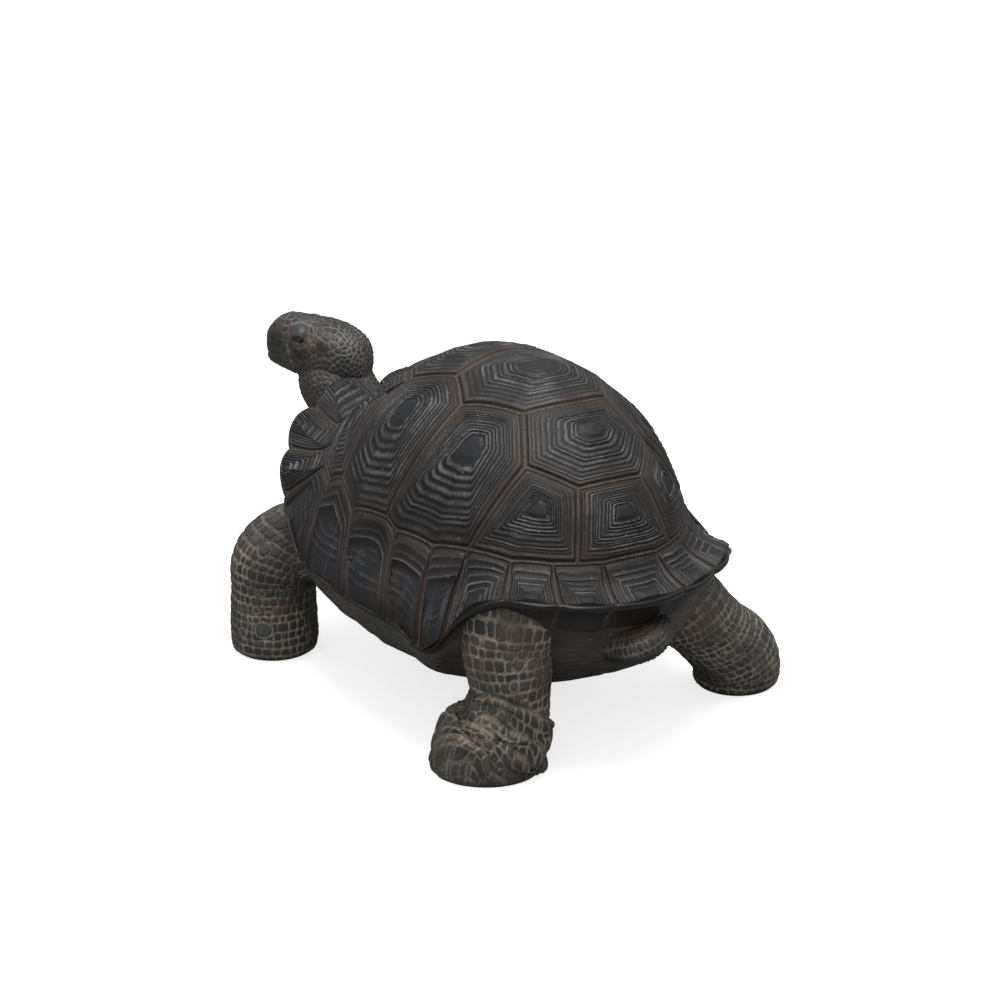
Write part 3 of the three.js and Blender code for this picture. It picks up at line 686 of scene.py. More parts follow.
def makePlate(name, corners, heart, kind, seed, material):
    relief = plateRelief
    columns = kind["columns"]
    outline = evenOutline(corners, columns)
    onRim = smoothStep((np.hypot(*outline.T) - 0.985) / 0.012)
    phi = np.arctan2(outline[:, 1], outline[:, 0])
    band = [shellPoint(share * np.cos(phi), share * np.sin(phi)) for share in (1, shell["bandAt"])]
    skirt = np.linalg.norm(band[0] - band[1], axis=1)
    start = shellPoint(*outline.T)
    depth = plateDepth(start, outline, heart, kind)
    grid, paint, marks = [], [], []
    shaped = outline
    for share, lift, crest, bead, valley in plateRows(start, depth, kind, seed):
        if kind is domePlate:
            shaped = rounded(outline, smoothStep(share.mean() / 0.8))
        x, y = ringMap(shaped, heart, share, kind)
        fromRim = (1 - np.hypot(x, y)) / relief["skirtShare"] * skirt
        rimward = onRim * smoothStep(1 - fromRim / relief["rimReach"])
        bare = 1 - rimward
        wash = kind["wash"] * bell(share * depth, relief["washReach"]) * (1 - 0.8 * rimward)
        inHeart = smoothStep((share - kind["heartAt"]) / 0.1)
        if kind["rungs"]:
            lift, crest, wash = addRungs((x, y), fromRim, inHeart, (lift, crest, wash), kind["rungs"], seed)
            inHeart = relief["rungHeart"] * inHeart
        grid.append(liftedPoint(x, y, lift * bare + relief["rimLift"] * rimward))
        paint.append(packed(crest * bare, wash, inHeart))
        marks.append(packed(bead * bare, valley * bare, 0))
    top, paint, marks = (np.array(rows[::-1]) for rows in (grid, paint, marks))
    top[0] = top[0].mean(axis=0)
    under = []
    sink = mixed(relief["sink"], relief["rimSink"], onRim)
    for share in (0.0, 0.3, 0.65, 1.0):
        x, y = ringMap(outline, heart, np.full(columns, max(share, 0.01)), kind)
        under.append(liftedPoint(x, y, -mixed(sink, relief["sink"], share)))
    under[-1] = np.broadcast_to(under[-1].mean(axis=0), under[-1].shape)
    blank = np.zeros((len(under), columns, 3))
    masks = {"paint": np.concatenate([paint, blank]), "relief": np.concatenate([marks, blank])}
    finishPiece(addWrap(name, np.concatenate([top, under]), masks), "shell", material)


shellMaterial = makeShellMaterial()
for number, (name, corners, heart, kind) in enumerate(plateList()):
    makePlate(name, corners, heart, kind, 100 + number, shellMaterial)
print("horn plates made")


# the shell under the plates: its glossy lip and the faces that slope in to the body
lipPaint = {
    "black": (0.0065, 0.0068, 0.0075),
    "under": (0.013, 0.012, 0.011),
    "line": (0.150, 0.125, 0.098),
    "lineCover": 1.1,
    "roughness": 0.5,
    "shine": 0.3,
    "specular": 0.3,
    "coat": 0.3,
    "grain": 0.3,
}
lipShape = {  # lengths in mm
    "columns": 600, "domeRows": 30, "lipRows": 12, "underRows": 26, "domeEdge": 0.985, "bed": -2.6,
    "seamWidth": 1.4, "present": (1.2, 2.0), "round": 0.35, "dent": 0.7, "hollow": 1.6, "welt": 0.8,
    "inner": (0.85, 0.6, 0.3, 0.0),
}


def makeLipMaterial():
    paint = lipPaint
    material, tree, shader, place, grain = startPaint("lipPaint", paint, coatRoughness=0.12)
    gloss, line, wash = maskOf(tree, "paint")
    base = layered(tree, paint["under"], [
        (grain["Tone"], shellPaint["charcoal"]),
        (wash, shellPaint["brown"]),
        (gloss, paint["black"]),
        (brushed(tree, place, line, paint["lineCover"]), paint["line"]),
    ])
    tree.links.new(compute(tree, "MULTIPLY", gloss, paint["coat"]), shader.inputs["Coat Weight"])
    shine = ramped(tree, gloss, 0.0, 1.0, paint["roughness"], paint["shine"])
    endPaint(tree, shader, base, shine, grain["Height"], paint["grain"])
    return material


def jointPoint(phi, share):  # where the shell meets the body, as the solids have it
    weights = rimWeights(phi)
    radius, height = rimEdge(phi)
    radius = share * (radius - threeWay(shell["tuck"], weights))
    height = mixed(shell["ceiling"], height - threeWay(shell["drop"], weights), share**2)
    return packed(radius * np.cos(phi), radius * np.sin(phi), height)


def makeShellBody():
    plan = lipShape
    last = plan["lipRows"] - 1
    phi = roundAngles(plan["columns"])
    x, y = np.cos(phi), np.sin(phi)
    radius, height = rimEdge(phi)
    thick = threeWay(shell["lip"], rimWeights(phi))
    present = smoothStep((thick - plan["present"][0]) / plan["present"][1])
    away = np.min(np.abs(turnOf(phi)[:, None] - rimMarks), axis=1) * math.pi / 180 * radius
    line = bell(away, plan["seamWidth"])
    outward, down = packed(x, y, 0), np.array([0, 0, 1.0])
    rows, masks = [], []
    for i in range(plan["domeRows"]):  # the bed under the plates
        share = plan["domeEdge"] * (i / (plan["domeRows"] - 1))
        rows.append(liftedPoint(x * share, y * share, plan["bed"]))
        masks.append(packed(0, 0, 0 * phi + 0.8))
    edge = shellPoint(x, y)
    for i in range(plan["lipRows"]):  # a half-round edge, from the top of the rim to its underside
        bulge = plan["round"] * thick * math.sin(math.pi * i / last)
        sunk = thick * (1 - math.cos(math.pi * i / last)) / 2
        inset = plan["round"] * thick * (i / last) ** 3
        dent = plan["dent"] * line * present
        rows.append(edge + outward * (bulge - inset - dent)[:, None] - down * sunk[:, None])
        masks.append(packed(present * smoothStep(i / 2), 0.2 * line * present, 0))
    start, end = rows[-1], jointPoint(phi, 1)
    for i in range(1, plan["underRows"]):  # the faces that slope in to the body
        share = i / (plan["underRows"] - 1)
        hollow = plan["hollow"] * math.sin(math.pi * share) * present
        welt = plan["welt"] * line * math.sin(math.pi * min(1, share * 1.2))
        level = start + (end - start) * share
        rows.append(level - outward * hollow[:, None] - down * (welt - hollow)[:, None])
        gloss = 0.6 * (present * smoothStep(1 - share / 0.35))
        masks.append(packed(gloss, line * present * (1 - 0.6 * share), 0.5 * share))
    for share in plan["inner"]:
        rows.append(jointPoint(phi, share) + down)
        masks.append(packed(0 * phi, 0, 0))
    grid = np.array(rows)
    grid[0] = grid[0].mean(axis=0)
    piece = addWrap("shell_body", grid, {"paint": np.array(masks)})
    finishPiece(piece, "shell", makeLipMaterial(), "carapace")


makeShellBody()
print("shell body made")

# skin: paint of the soft parts
skinPaint = {
    "face": (0.074, 0.073, 0.066),
    "deep": (0.015, 0.0148, 0.0135),
    "groove": (0.330, 0.275, 0.200),
    "grey": (0.235, 0.225, 0.200),
    "rust": (0.120, 0.070, 0.040),
    "sheenBlue": (0.090, 0.098, 0.112),
    "speck": (0.42, 0.40, 0.34),
    "grooveCover": 1.35,
    "specks": 0.05,
    "roughness": 0.48,
    "shine": -0.24,
    "specular": 0.38,
    "grain": 0.5,
}


def makeSkinMaterial():  # dark scales with tan brushed into the grooves between them
    paint = skinPaint
    material, tree, shader, place, grain = startPaint("skinPaint", paint)
    groove, tone, rust = maskOf(tree, "paint")
    dark, gloss, grey = maskOf(tree, "relief")
    line = blendColour(tree, grey, paint["groove"], paint["grey"])
    base = layered(tree, paint["deep"], [
        (compute(tree, "MULTIPLY", compute(tree, "ADD", tone, grain["Tone"]), 0.5), paint["face"]),
        # the gloss mask lays a bluish painted sheen into the colour of glossy scales, the lids and the tail's
        # tip
        (compute(tree, "MULTIPLY", gloss, 0.5), paint["sheenBlue"]),
        (rust, paint["rust"]),
        (brushed(tree, place, groove, paint["grooveCover"]), line),
        (dark, paint["deep"]),
        (placeSpecks(tree, place, paint["specks"]), paint["speck"]),
    ])
    shine = compute(tree, "MULTIPLY_ADD", gloss, paint["shine"], paint["roughness"])
    endPaint(tree, shader, base, shine, grain["Height"], paint["grain"])
    return material


skinMaterial = makeSkinMaterial()


# scales laid in rows round a limb
def scaleCells(along, angle, plan, seed):  # distance to the nearest groove, and a fixed number for each scale
    pitch, count = plan["pitch"], plan["count"]

    def rowEdge(row):
        return (row + plan["rowJitter"] * (hashed(packed(row, 0, 7), seed) - 0.5)) * pitch

    def sideEdge(row, place):
        return place + plan["jitter"] * (hashed(packed(row, place % count, 0), seed + 1) - 0.5)

    row = np.floor(along / pitch).astype(np.int64)
    row = row + (along >= rowEdge(row + 1)) - (along < rowEdge(row))
    turn = angle / (2 * math.pi) * count - 3 * hashed(packed(row, 0, 0), seed + 2)
    place = np.floor(turn).astype(np.int64)
    place = place + (turn >= sideEdge(row, place + 1)) - (turn < sideEdge(row, place))
    wide = 2 * math.pi * plan["radius"] / count
    sides = [along - rowEdge(row), rowEdge(row + 1) - along]
    sides += [(turn - sideEdge(row, place)) * wide, (sideEdge(row, place + 1) - turn) * wide]
    border = -np.log(sum(np.exp(-1.5 * np.maximum(side, 0)) for side in sides)) / 1.5 + 0.25
    return border, hashed(packed(row, place % count, 0), seed + 3)


def addKnobs(border, code, along, angle, plan):  # large round scales: how far along, degrees round, radius
    for level, degrees, size in plan["knobs"]:
        turn = angle - math.radians(degrees)
        away = np.hypot(along - level, np.arctan2(np.sin(turn), np.cos(turn)) * 31)
        border = np.where(away < size, size - away, np.minimum(border, away - size))
        code = np.where(away < size, 1.0, code)
    return border, code


def scaleRelief(border, code, plan):  # height and groove mask of scales
    face = smoothStep((border - 0.2) / plan["slope"])
    dome = 1 - np.exp(-np.maximum(border, 0) / 1.6)
    height = plan["depth"] * (face - 1) + plan["dome"] * dome * (0.5 + code)
    return height, 1 - smoothStep((border - plan["line"]) / 0.5)


def smoothLine(points, count):  # a centripetal line through the points, even in its parameter
    points = np.array(points, float)
    padded = np.vstack([2 * points[0] - points[1], points, 2 * points[-1] - points[-2]])
    station = np.linspace(0, len(points) - 1, count)
    i = np.minimum(station.astype(int), len(points) - 2)
    t = (station - i)[:, None]
    a, b, c, d = (padded[i + k] for k in range(4))
    gaps = (b - a, c - b, d - c)
    before, here, after = (np.sqrt(np.linalg.norm(gap, axis=1, keepdims=True)) for gap in gaps)
    start = ((b - a) / before - (c - a) / (before + here) + (c - b) / here) * here
    end = ((c - b) / here - (d - b) / (here + after) + (d - c) / after) * here
    square, cube = 3 * (c - b) - 2 * start - end, 2 * (b - c) + start + end
    return b + start * t + square * t**2 + cube * t**3, station


def limbRows(plan, flatFoot=False):  # the bare rows of a limb, how far along each is, and the angles round it
    stations = np.array(plan["stations"], float)
    centre, station = smoothLine(stations[:, :3], 900)
    sizes, spare = smoothLine(np.column_stack([stations[:, 3:], np.arange(len(stations))]), 900)
    up = unit(np.gradient(centre, axis=0))
    if flatFoot:
        upright = np.clip(1.6 * (1 - station / 3), 0, 1)[:, None]
        up = unit(up * (1 - upright) + np.array([0, 0, 1.0]) * upright)
    walked = np.concatenate([[0], np.cumsum(np.linalg.norm(np.diff(centre, axis=0), axis=1))])
    fine = np.arange(0, plan["dressed"], plan["step"])
    marks = np.concatenate([fine, np.linspace(plan["dressed"], walked[-1], plan["hiddenRows"])])
    centre, sizes, up = (
        packed(*(np.interp(marks, walked, column) for column in values.T)) for values in (centre, sizes, up)
    )
    heading = math.radians(plan["heading"])
    side = unit(np.cross(up, np.array([math.cos(heading), math.sin(heading), 0])))
    ahead = np.cross(side, up)
    angle = roundAngles(plan["columns"])
    out = ahead[:, None] * (sizes[:, :1] * np.cos(angle))[..., None]
    out = out + side[:, None] * (sizes[:, 1:2] * np.sin(angle))[..., None]
    return centre[:, None] + out, *np.broadcast_arrays(marks[:, None], angle)


def addLimb(name, rows, masks, capRows=6):  # a wrap from the last row to the first, with caps on both ends
    def cap(row):
        middle = row.mean(axis=0)
        return [middle + (row - middle) * (i / capRows) for i in range(capRows)]

    def padded(values):
        top, bottom = (np.repeat(end, capRows, axis=0) for end in (values[-1:], values[:1]))
        return np.concatenate([top, values[::-1], bottom])

    whole = np.concatenate([cap(rows[-1]), rows[::-1], cap(rows[0])[::-1]])
    return addWrap(name, whole, {label: padded(values) for label, values in masks.items()})


legPlans = {
    "leg_front_left": {
        "heading": -20,
        "stations": [
            (136, 112, 0, 28, 28), (136, 112, 3, 30.8, 31), (136, 112, 9, 32, 32), (136, 112, 22, 32, 32),
            (135, 112, 48, 31, 31), (133, 110, 68, 32, 32.5), (125, 100, 82, 31, 31), (108, 82, 89, 29, 29),
            (88, 62, 91, 26, 26),
        ],
        "dressed": 112, "upright": 0.55, "seed": 11, "paintedLight": 0.05, "folds": [], "toes": (5, 100, 1.6, 12),
        "knobs": [
            (81, 141, 4.6), (27, 160, 6.6), (56, 157, 2.8), (40, 167, 2.6), (42, 150, 2.8), (22, 128, 3.6),
        ],
    },
    "leg_front_right": {
        "heading": -15,
        "stations": [
            (112, -112, 0, 29, 28), (112, -112, 4, 32, 31), (112, -112, 24, 32, 31), (113, -112, 50, 31, 30),
            (114, -109, 72, 32, 31), (110, -98, 88, 31, 30), (98, -80, 93, 28, 28), (80, -62, 94, 25, 25),
        ],
        "dressed": 112, "upright": 0.55, "seed": 23, "paintedLight": 0.0, "folds": [], "toes": (5, 110, 1.6, 12),
        "knobs": [(27, -160, 6.0), (60, -140, 3.4)],
    },
    "leg_hind_left": {
        "heading": 60,
        "stations": [
            (-120.8, 80.2, 0, 35, 29), (-121.2, 79.4, 4, 37.6, 31.5), (-121.8, 78.3, 12, 38.6, 32),
            (-123.7, 74.9, 20, 37.9, 32), (-126.6, 71.4, 28, 34.2, 31), (-128, 70.1, 37, 31.2, 30),
            (-129.8, 69.3, 45, 28.4, 28.5), (-131, 67.6, 58, 26.3, 27.5), (-131, 68, 70, 28.2, 29),
            (-128.5, 67.6, 90, 31.5, 32), (-125.5, 63.6, 108, 34, 34.5), (-118, 52, 120, 32, 32),
        ],
        "dressed": 126, "upright": 0.0, "seed": 37, "paintedLight": 0.12, "toes": (6, 138, 2.6, 24),
        "folds": [  # degrees round the leg, and how far along it
            [
                (0, 43), (16, 50), (32, 64), (58, 70), (78, 68.4), (99, 63.2), (124, 57.3), (152, 51.5),
                (200, 40),
            ],
            [
                (0, 25), (21, 35), (33, 43.5), (50, 50.5), (67, 51.7), (81, 49.6), (97, 47), (119, 45),
                (144, 33), (200, 24),
            ],
            [
                (10, 36), (28, 42.5), (51, 45.4), (72, 44.9), (96, 36.3), (106, 31.9), (128, 27.6),
                (150, 20), (200, 14),
            ],
            [(0, 9), (27, 19), (39, 23.5), (49, 25), (66, 27.7), (76, 25), (90, 14.8), (110, 4), (200, 0)],
        ],
        "knobs": [
            (86.7, 119, 4.2), (87.7, 101, 4.4), (63, 110, 3.8), (57, 64, 4.6), (53, 80, 4.4), (39.5, 60, 3.8),
            (33, 72, 3.8), (94, 106, 3.6), (75, 95, 3.4),
        ],
    },
    "leg_hind_right": {
        "heading": -62,
        "stations": [
            (-88, -147, 0, 29, 28), (-88, -147, 4, 31.5, 30.5), (-90, -146, 16, 31.5, 30.5),
            (-95, -136.5, 30, 30.5, 29.5), (-100, -120.5, 45, 28, 27), (-106, -103, 62, 27, 27),
            (-110, -84, 79, 29.5, 29.5), (-108, -62, 92, 30, 30),
        ],
        "dressed": 126, "upright": 0.5, "seed": 53, "paintedLight": 0.2, "folds": [], "toes": (4, 84, 2.2, 14),
        "knobs": [(58, -128, 3.4), (72, -140, 3.0), (40, -118, 3.6)],
    },
}
legScales = {
    "pitch": 6.4, "count": 31, "radius": 31.0, "jitter": 0.62, "rowJitter": 0.3,
    "depth": 0.8, "dome": 0.6, "slope": 0.9, "line": 0.55,
}
legRows = {"step": 0.66, "hiddenRows": 8, "columns": 300}
legPaint = {
    "rust": 0.65, "grooveRust": 0.5, "toeRust": 0.6, "stripRust": 0.8, "toeLine": 0.7, "creaseLine": 0.8,
    "sole": 0.35, "grey": 0.45,
}
foldShape = {  # lengths in mm
    "cut": -1.6, "cutAt": 0.3, "cutWidth": 1.3, "bulge": 1.8, "bulgeAt": 5.0, "bulgeWidth": 3.6,
    "fade": 16, "crease": 1.5, "stripAt": 2.2, "stripWidth": 1.6, "apart": 200,
}


def foldDistances(plan, along, angle):  # how far past each fold every point is
    turn = np.degrees(angle)
    return [along - np.interp(turn, *zip(*line), period=360) for line in plan["folds"]]


def legFolds(plan, along, angle):  # the folds' height, their creases, and the strips just below them
    shape = foldShape
    fold, crease, strip = np.zeros((3, *along.shape))
    shown = smoothStep((np.sin(angle) + 0.75) / 0.5)
    for away in foldDistances(plan, along, angle):
        cut = shape["cut"] * bell(away - shape["cutAt"], shape["cutWidth"])
        bulge = shape["bulge"] * bell(away + shape["bulgeAt"], shape["bulgeWidth"])
        fold += shown * (cut + bulge) * smoothStep(along / shape["fade"])
        crease = np.maximum(crease, shown * bell(away, shape["crease"]))
        strip = np.maximum(strip, shown * bell(away + shape["stripAt"], shape["stripWidth"]))
    return fold, crease, strip


def legToes(plan, along, angle):  # where the toes are, their height, and how far across each one
    count, spread, lobe, tall = plan["toes"]
    wide = math.radians(spread)
    ahead = np.arctan2(np.sin(angle), np.cos(angle))
    onToes = smoothStep((wide / 2 + 0.25 - np.abs(ahead)) / 0.3) * smoothStep((tall - along) / (0.5 * tall))
    across = np.abs(np.sin((ahead / wide + 0.5) * count * math.pi))
    return onToes, onToes * lobe * (across**0.5 * 1.2 - 0.75), across


def makeLeg(name, plan):
    seed, paintedLight = plan["seed"], plan["paintedLight"]
    rows, along, angle = limbRows({**plan, **legRows}, flatFoot=True)
    normal = -gridNormals(rows)
    warp = cloud(rows, 34.0, seed) * 1.6 + cloud(rows, 9.0, seed + 1) * 0.7
    level = mixed(along, rows[..., 2], plan["upright"]) + warp
    for number, away in enumerate(foldDistances(plan, along, angle)):
        level = np.where(away < 0, away + foldShape["apart"] * (number + 1) + 0.4 * warp, level)
    fold, crease, strip = legFolds(plan, along, angle)
    onToes, toes, across = legToes(plan, along, angle)
    border, code = scaleCells(level, angle + cloud(rows, 10.0, seed + 2) * 0.03, legScales, seed)
    border, code = addKnobs(border, code, along, angle, plan)
    height, groove = scaleRelief(border, code, legScales)
    sole = smoothStep(along / 3.0)
    lift = height * sole * (1 - 0.7 * crease) * (1 - 0.5 * onToes) + fold + toes * smoothStep(along / 2)
    placed = rows + normal * lift[..., None]
    placed[0, :, 2] = 0
    placed[..., 2] = np.maximum(placed[..., 2], 0)
    look = legPaint
    rust = look["rust"] * smoothStep(cloud(rows, 20.0, seed + 5) * 1.5 - 0.1) * (0.55 + 0.45 * groove)
    rust = np.maximum(rust, look["grooveRust"] * groove * smoothStep(cloud(rows, 12.0, seed + 6) + 0.2))
    rust = np.maximum(rust, look["toeRust"] * onToes * smoothStep(0.5 - across * 1.6)) * (1 - crease)
    rust = np.maximum(rust, look["stripRust"] * strip * smoothStep(0.6 + cloud(rows, 14.0, 4)))
    groove = np.maximum(groove * (1 - 0.75 * onToes), look["toeLine"] * onToes * bell(across - 0.3, 0.12))
    line = look["creaseLine"] * crease * smoothStep(0.8 + cloud(rows, 9.0, 2))
    groove = np.maximum(groove * (1 - 0.5 * crease), line)
    # pale grooves dimmed on upward-facing scales: painted shade on the tops of the legs
    groove = groove * (1 - 0.4 * smoothStep((normal[..., 2] - 0.1) / 0.5))
    # glossy scales: less rough, and through the skin paint a bluish painted sheen in their colour
    gloss = smoothStep((code - 0.62) / 0.2) * smoothStep((border - 1.0) / 1.2)
    # legs that look more lit get paler scales and brighter grooves: painted light
    tone = (0.25 + 0.75 * code) * (0.3 + 0.7 * smoothStep((border - 0.7) / 1.6)) + paintedLight
    masks = {
        "paint": packed(groove * sole * (1 + 2 * paintedLight), tone, rust),
        "relief": packed(look["sole"] * (1 - sole), gloss, look["grey"]),
    }
    finishPiece(addLimb(f"skin_{name}", placed, masks), "skin", skinMaterial, name)


for name, plan in legPlans.items():
    makeLeg(name, plan)
print("legs made")

tailPlan = {
    "heading": 0,
    "stations": [
        (-146, 10, 86, 11, 11), (-166, 8, 90, 11.5, 11.5), (-180, 4, 93, 11.5, 11.5), (-186, -4, 97, 11, 11),
        (-185, -12, 101, 10, 10), (-181, -18, 106, 8, 8), (-178, -21, 110, 5, 5),
    ],
    "dressed": 0.1, "step": 0.5, "hiddenRows": 130, "columns": 140, "seed": 71,
    "warp": 0.6, "blunt": 8.0, "tip": 20, "tipFade": 9,
}
tailPaint = {
    "groove": 0.55, "tone": 0.2, "topRust": 0.5, "grooveRust": 0.3, "dark": 0.6, "gloss": 0.5, "grey": 0.2,
}
tailScales = {  # rows run lengthwise
    "pitch": 5.5, "count": 30, "radius": 11.5, "jitter": 0.4, "rowJitter": 0.2,
    "depth": 0.5, "dome": 0.3, "slope": 0.6, "line": 0.15,
}


def makeTail():
    plan, look = tailPlan, tailPaint
    rows, along, angle = limbRows(plan)
    normal = -gridNormals(rows)
    length = along.max()
    level = angle * tailScales["radius"] + plan["warp"] * cloud(rows, 12.0, 3)
    border, code = scaleCells(level, 2 * math.pi / length * along, tailScales, plan["seed"])
    height, groove = scaleRelief(border, code, tailScales)
    blunt = np.sqrt(np.clip((length - along) / plan["blunt"], 0, 1))[..., None]
    middle = rows.mean(axis=1, keepdims=True)
    placed = middle + (rows - middle) * mixed(0.25, 1.0, blunt) + normal * (height[..., None] * blunt)
    tip = smoothStep((along - length + plan["tip"]) / plan["tipFade"])
    # the underside and the tip are painted darker with their grooves faded, as painted shade; the tip's gloss
    # also gives it a bluish painted sheen
    below = smoothStep((-0.15 - normal[..., 2]) / 0.35)
    above = smoothStep((normal[..., 2] - 0.5) / 0.3)
    groove = look["groove"] * groove * (1 - 0.85 * tip) * (1 - 0.8 * below) * (1 - 0.8 * above)
    rust = look["topRust"] * above * (1 - tip) + look["grooveRust"] * groove
    masks = {
        "paint": packed(groove, look["tone"] * code, np.clip(rust, 0, 1)),
        "relief": packed(look["dark"] * np.maximum(tip, below), look["gloss"] * tip, look["grey"]),
    }
    finishPiece(addLimb("skin_tail", placed, masks), "skin", skinMaterial, "tail")


makeTail()
print("tail made")

# the body between the legs, down to the flat belly
body = {
    "height": 48, "radius": (108, 82, 112), "powers": (2.4, 2.4),
    "top": (6, 1.5, 6), "topDrop": (50, 15, 26), "foot": (42, 22, 40), "footRise": (10, 6, 8),
    "columns": 480, "wallRows": 80, "bellyRows": 40, "inner": (0, 0.4, 0.8, 0.95), "innerDrop": 1.5,
    "crossings": (88, 58, 10, -52, -88), "slant": 0.12, "seamWidth": 1.2, "seamTop": 62,
    "wallFrom": 50, "lineGap": 4.6, "lineWidth": 0.13,
}


def wallPoint(phi, share):
    weights = rimWeights(phi)
    top = jointPoint(phi, 1)
    start, height = np.hypot(top[:, 0], top[:, 1]), top[:, 2] + 0.8
    foot = planRadius(body["radius"], body["powers"], phi)
    curve = [
        [start, height],
        [start - threeWay(body["top"], weights), height - threeWay(body["topDrop"], weights)],
        [foot + threeWay(body["foot"], weights), body["height"] + threeWay(body["footRise"], weights)],
        [foot, body["height"]],
    ]
    radius, level = cubic(curve, share)
    return packed(radius * np.cos(phi), radius * np.sin(phi), level)


def makeBody():
    phi = roundAngles(body["columns"])
    rows = [jointPoint(phi, share) - np.array([0, 0, body["innerDrop"]]) for share in body["inner"]]
    rows += [wallPoint(phi, i / (body["wallRows"] - 1)) for i in range(body["wallRows"])]
    last = rows[-1]
    rows += [last * np.array([s, s, 1]) for s in np.linspace(1, 0, body["bellyRows"] + 1)[1:]]
    rows = np.array(rows)
    x, y, z = np.moveaxis(rows, -1, 0)
    lean = body["slant"] * np.abs(y[..., None])
    across = np.min(np.abs(x[..., None] - np.array(body["crossings"]) + lean), axis=-1)
    seam = np.maximum(bell(y, body["seamWidth"]), bell(across, body["seamWidth"]))
    seam = seam * smoothStep((body["seamTop"] - z) / 6)
    wall = smoothStep((z - body["wallFrom"]) / 8)
    lines = bell((z / body["lineGap"] + 0.5 * cloud(rows, 40.0, 5)) % 1 - 0.5, body["lineWidth"]) * wall
    wrinkles = cloud(rows * np.array([1, 1, 2.5]), 16.0, 3) * 1.2
    wrinkles = wrinkles + cloud(rows * np.array([1, 1, 2]), 7.0, 4) * 0.4
    placed = rows + gridNormals(rows) * (wall * wrinkles - 1.0 * seam - 0.5 * lines)[..., None]
    placed[0] = placed[0].mean(axis=0)
    groove = 0.8 * seam + 0.5 * lines * smoothStep(cloud(rows, 30.0, 9) + 0.5)
    paint = packed(groove, 0.4, 0.5 * smoothStep(cloud(rows, 30.0, 8) + 0.3))
    piece = addWrap("skin_body", placed, {"paint": paint, "relief": packed(0.3, 0, 0 * z)})
    finishPiece(piece, "underside", skinMaterial, "torso")


makeBody()
print("body made")

# head and neck in one skin
headForm = {
    "stations": [
        (-40, -2, -16, 8), (-37.3, 5.5, -21, 17), (-31, 12.5, -23.5, 23.5), (-20, 19.3, -24, 26),
        (-8, 22.8, -23, 26), (3, 24.2, -22, 25), (13, 25.5, -20.5, 22.5), (21, 26.6, -19, 19.5),
        (28, 25.6, -17, 16), (34, 22, -14.8, 12.5), (39, 16.8, -13, 9), (42, 12, -10.5, 4.5),
    ],
    "rows": 90, "columns": 120, "boxiness": 0.82, "cheekLine": 0.45, "lid": 1.8, "voxel": 0.75,
    "nostril": (34, 8.6, 18), "mouth": [(48, -3.5), (39, -5), (28, -2), (17, -4), (10, -8), (8, -11)],
    "opening": (10.3, 23, 11.6), "openingHalf": (4.1, 6, 2.9),
}
headScales = {
    "size": 6.3, "napeSize": 4.0, "small": 0.68, "depth": 0.5, "dome": 0.45, "slope": 0.7, "line": 0.2,
}
headLines = {  # lines on the side of the head
    "orbit": [
        (22.3, 14.4, 20), (15.5, 13.9, 22), (10.1, 12.9, 22.7), (4.2, 13.2, 22.2), (-0.5, 16.1, 19.9),
        (-1.6, 20.8, 15.5), (-0.8, 22.9, 11.4),
    ],
    "lowerLid": [(15.2, 21, 10), (12.8, 22.2, 6.4), (8.7, 23.4, 4.7), (4, 24.2, 6.5), (0.8, 23.8, 9.6)],
    "jawFold": [(21, 19.3, 6.3), (18, 20.6, 0.6), (16.5, 20.7, -5.3), (14.9, 19.7, -10.5)],
    "throat": [
        (-4.7, 24.6, -10.1), (-8.1, 21.5, -16.1), (-13.7, 24.7, -11.8), (-18.6, 26, -3.8),
        (-21.3, 25.6, -7.4), (-25.2, 24.1, -11.7),
    ],
    "hinge": [(-2.5, 25.5, -0.9), (-17.2, 25.9, -0.3)],
}
lineRelief = {  # height and reach of what runs along each
    "orbit": (0.5, 1.0), "jawFold": (0.7, 1.3), "lowerLid": (0.6, 1.0),
    "mouth": (-1.3, 0.9), "nostril": (-1.5, 1.4),
}
linePaint = {"orbit": (0.8, 0.6), "jawFold": (0.75, 0.9), "lowerLid": (1.0, 0.6), "throat": (0.9, 0.55)}
lineRust = {"mouth": (0.35, 1.6), "hinge": (0.9, 0.8)}
headSpots = {  # places on the side of the head, and how wide, how deep, how dark and how rusty each is
    "slot": ((26.2, 10.8, 22.2), 1.3, 1.0, 0.8, 0),
    "front": ((18.5, 18.6, 13.5), 4.2, 0, 0, 0.85),
    "back": ((-0.6, 23.6, 9.6), 4.6, 0, 0, 0.9),
    "drum": ((-8.6, 25.2, 6.2), 5.2, 0.9, 0.7, 0),
    "jaw": ((8.9, 23.5, -1.5), 3.6, 0.8, 0.6, 0),
}
headPaint = {
    "groove": 0.74, "throatFade": 0.75, "cheekFade": 0.35, "beakLine": 0.4, "lidLine": 0.35,
    "openRust": 0.5, "throatRust": 0.4, "patchRust": 0.35, "nostrilDark": 0.9, "lidGloss": 0.4,
}
neckPlan = {
    "heading": 90,
    "stations": [
        (132, 0, 106, 30, 30), (166, 0, 117, 30, 30), (198, -2, 131, 27, 26.5), (220, 1.5, 146, 28, 26.5),
        (233, 8, 164, 29, 26), (240, 12, 186, 21, 20),
    ],
    "dressed": 0.1, "step": 1.0, "hiddenRows": 70, "columns": 120,
}


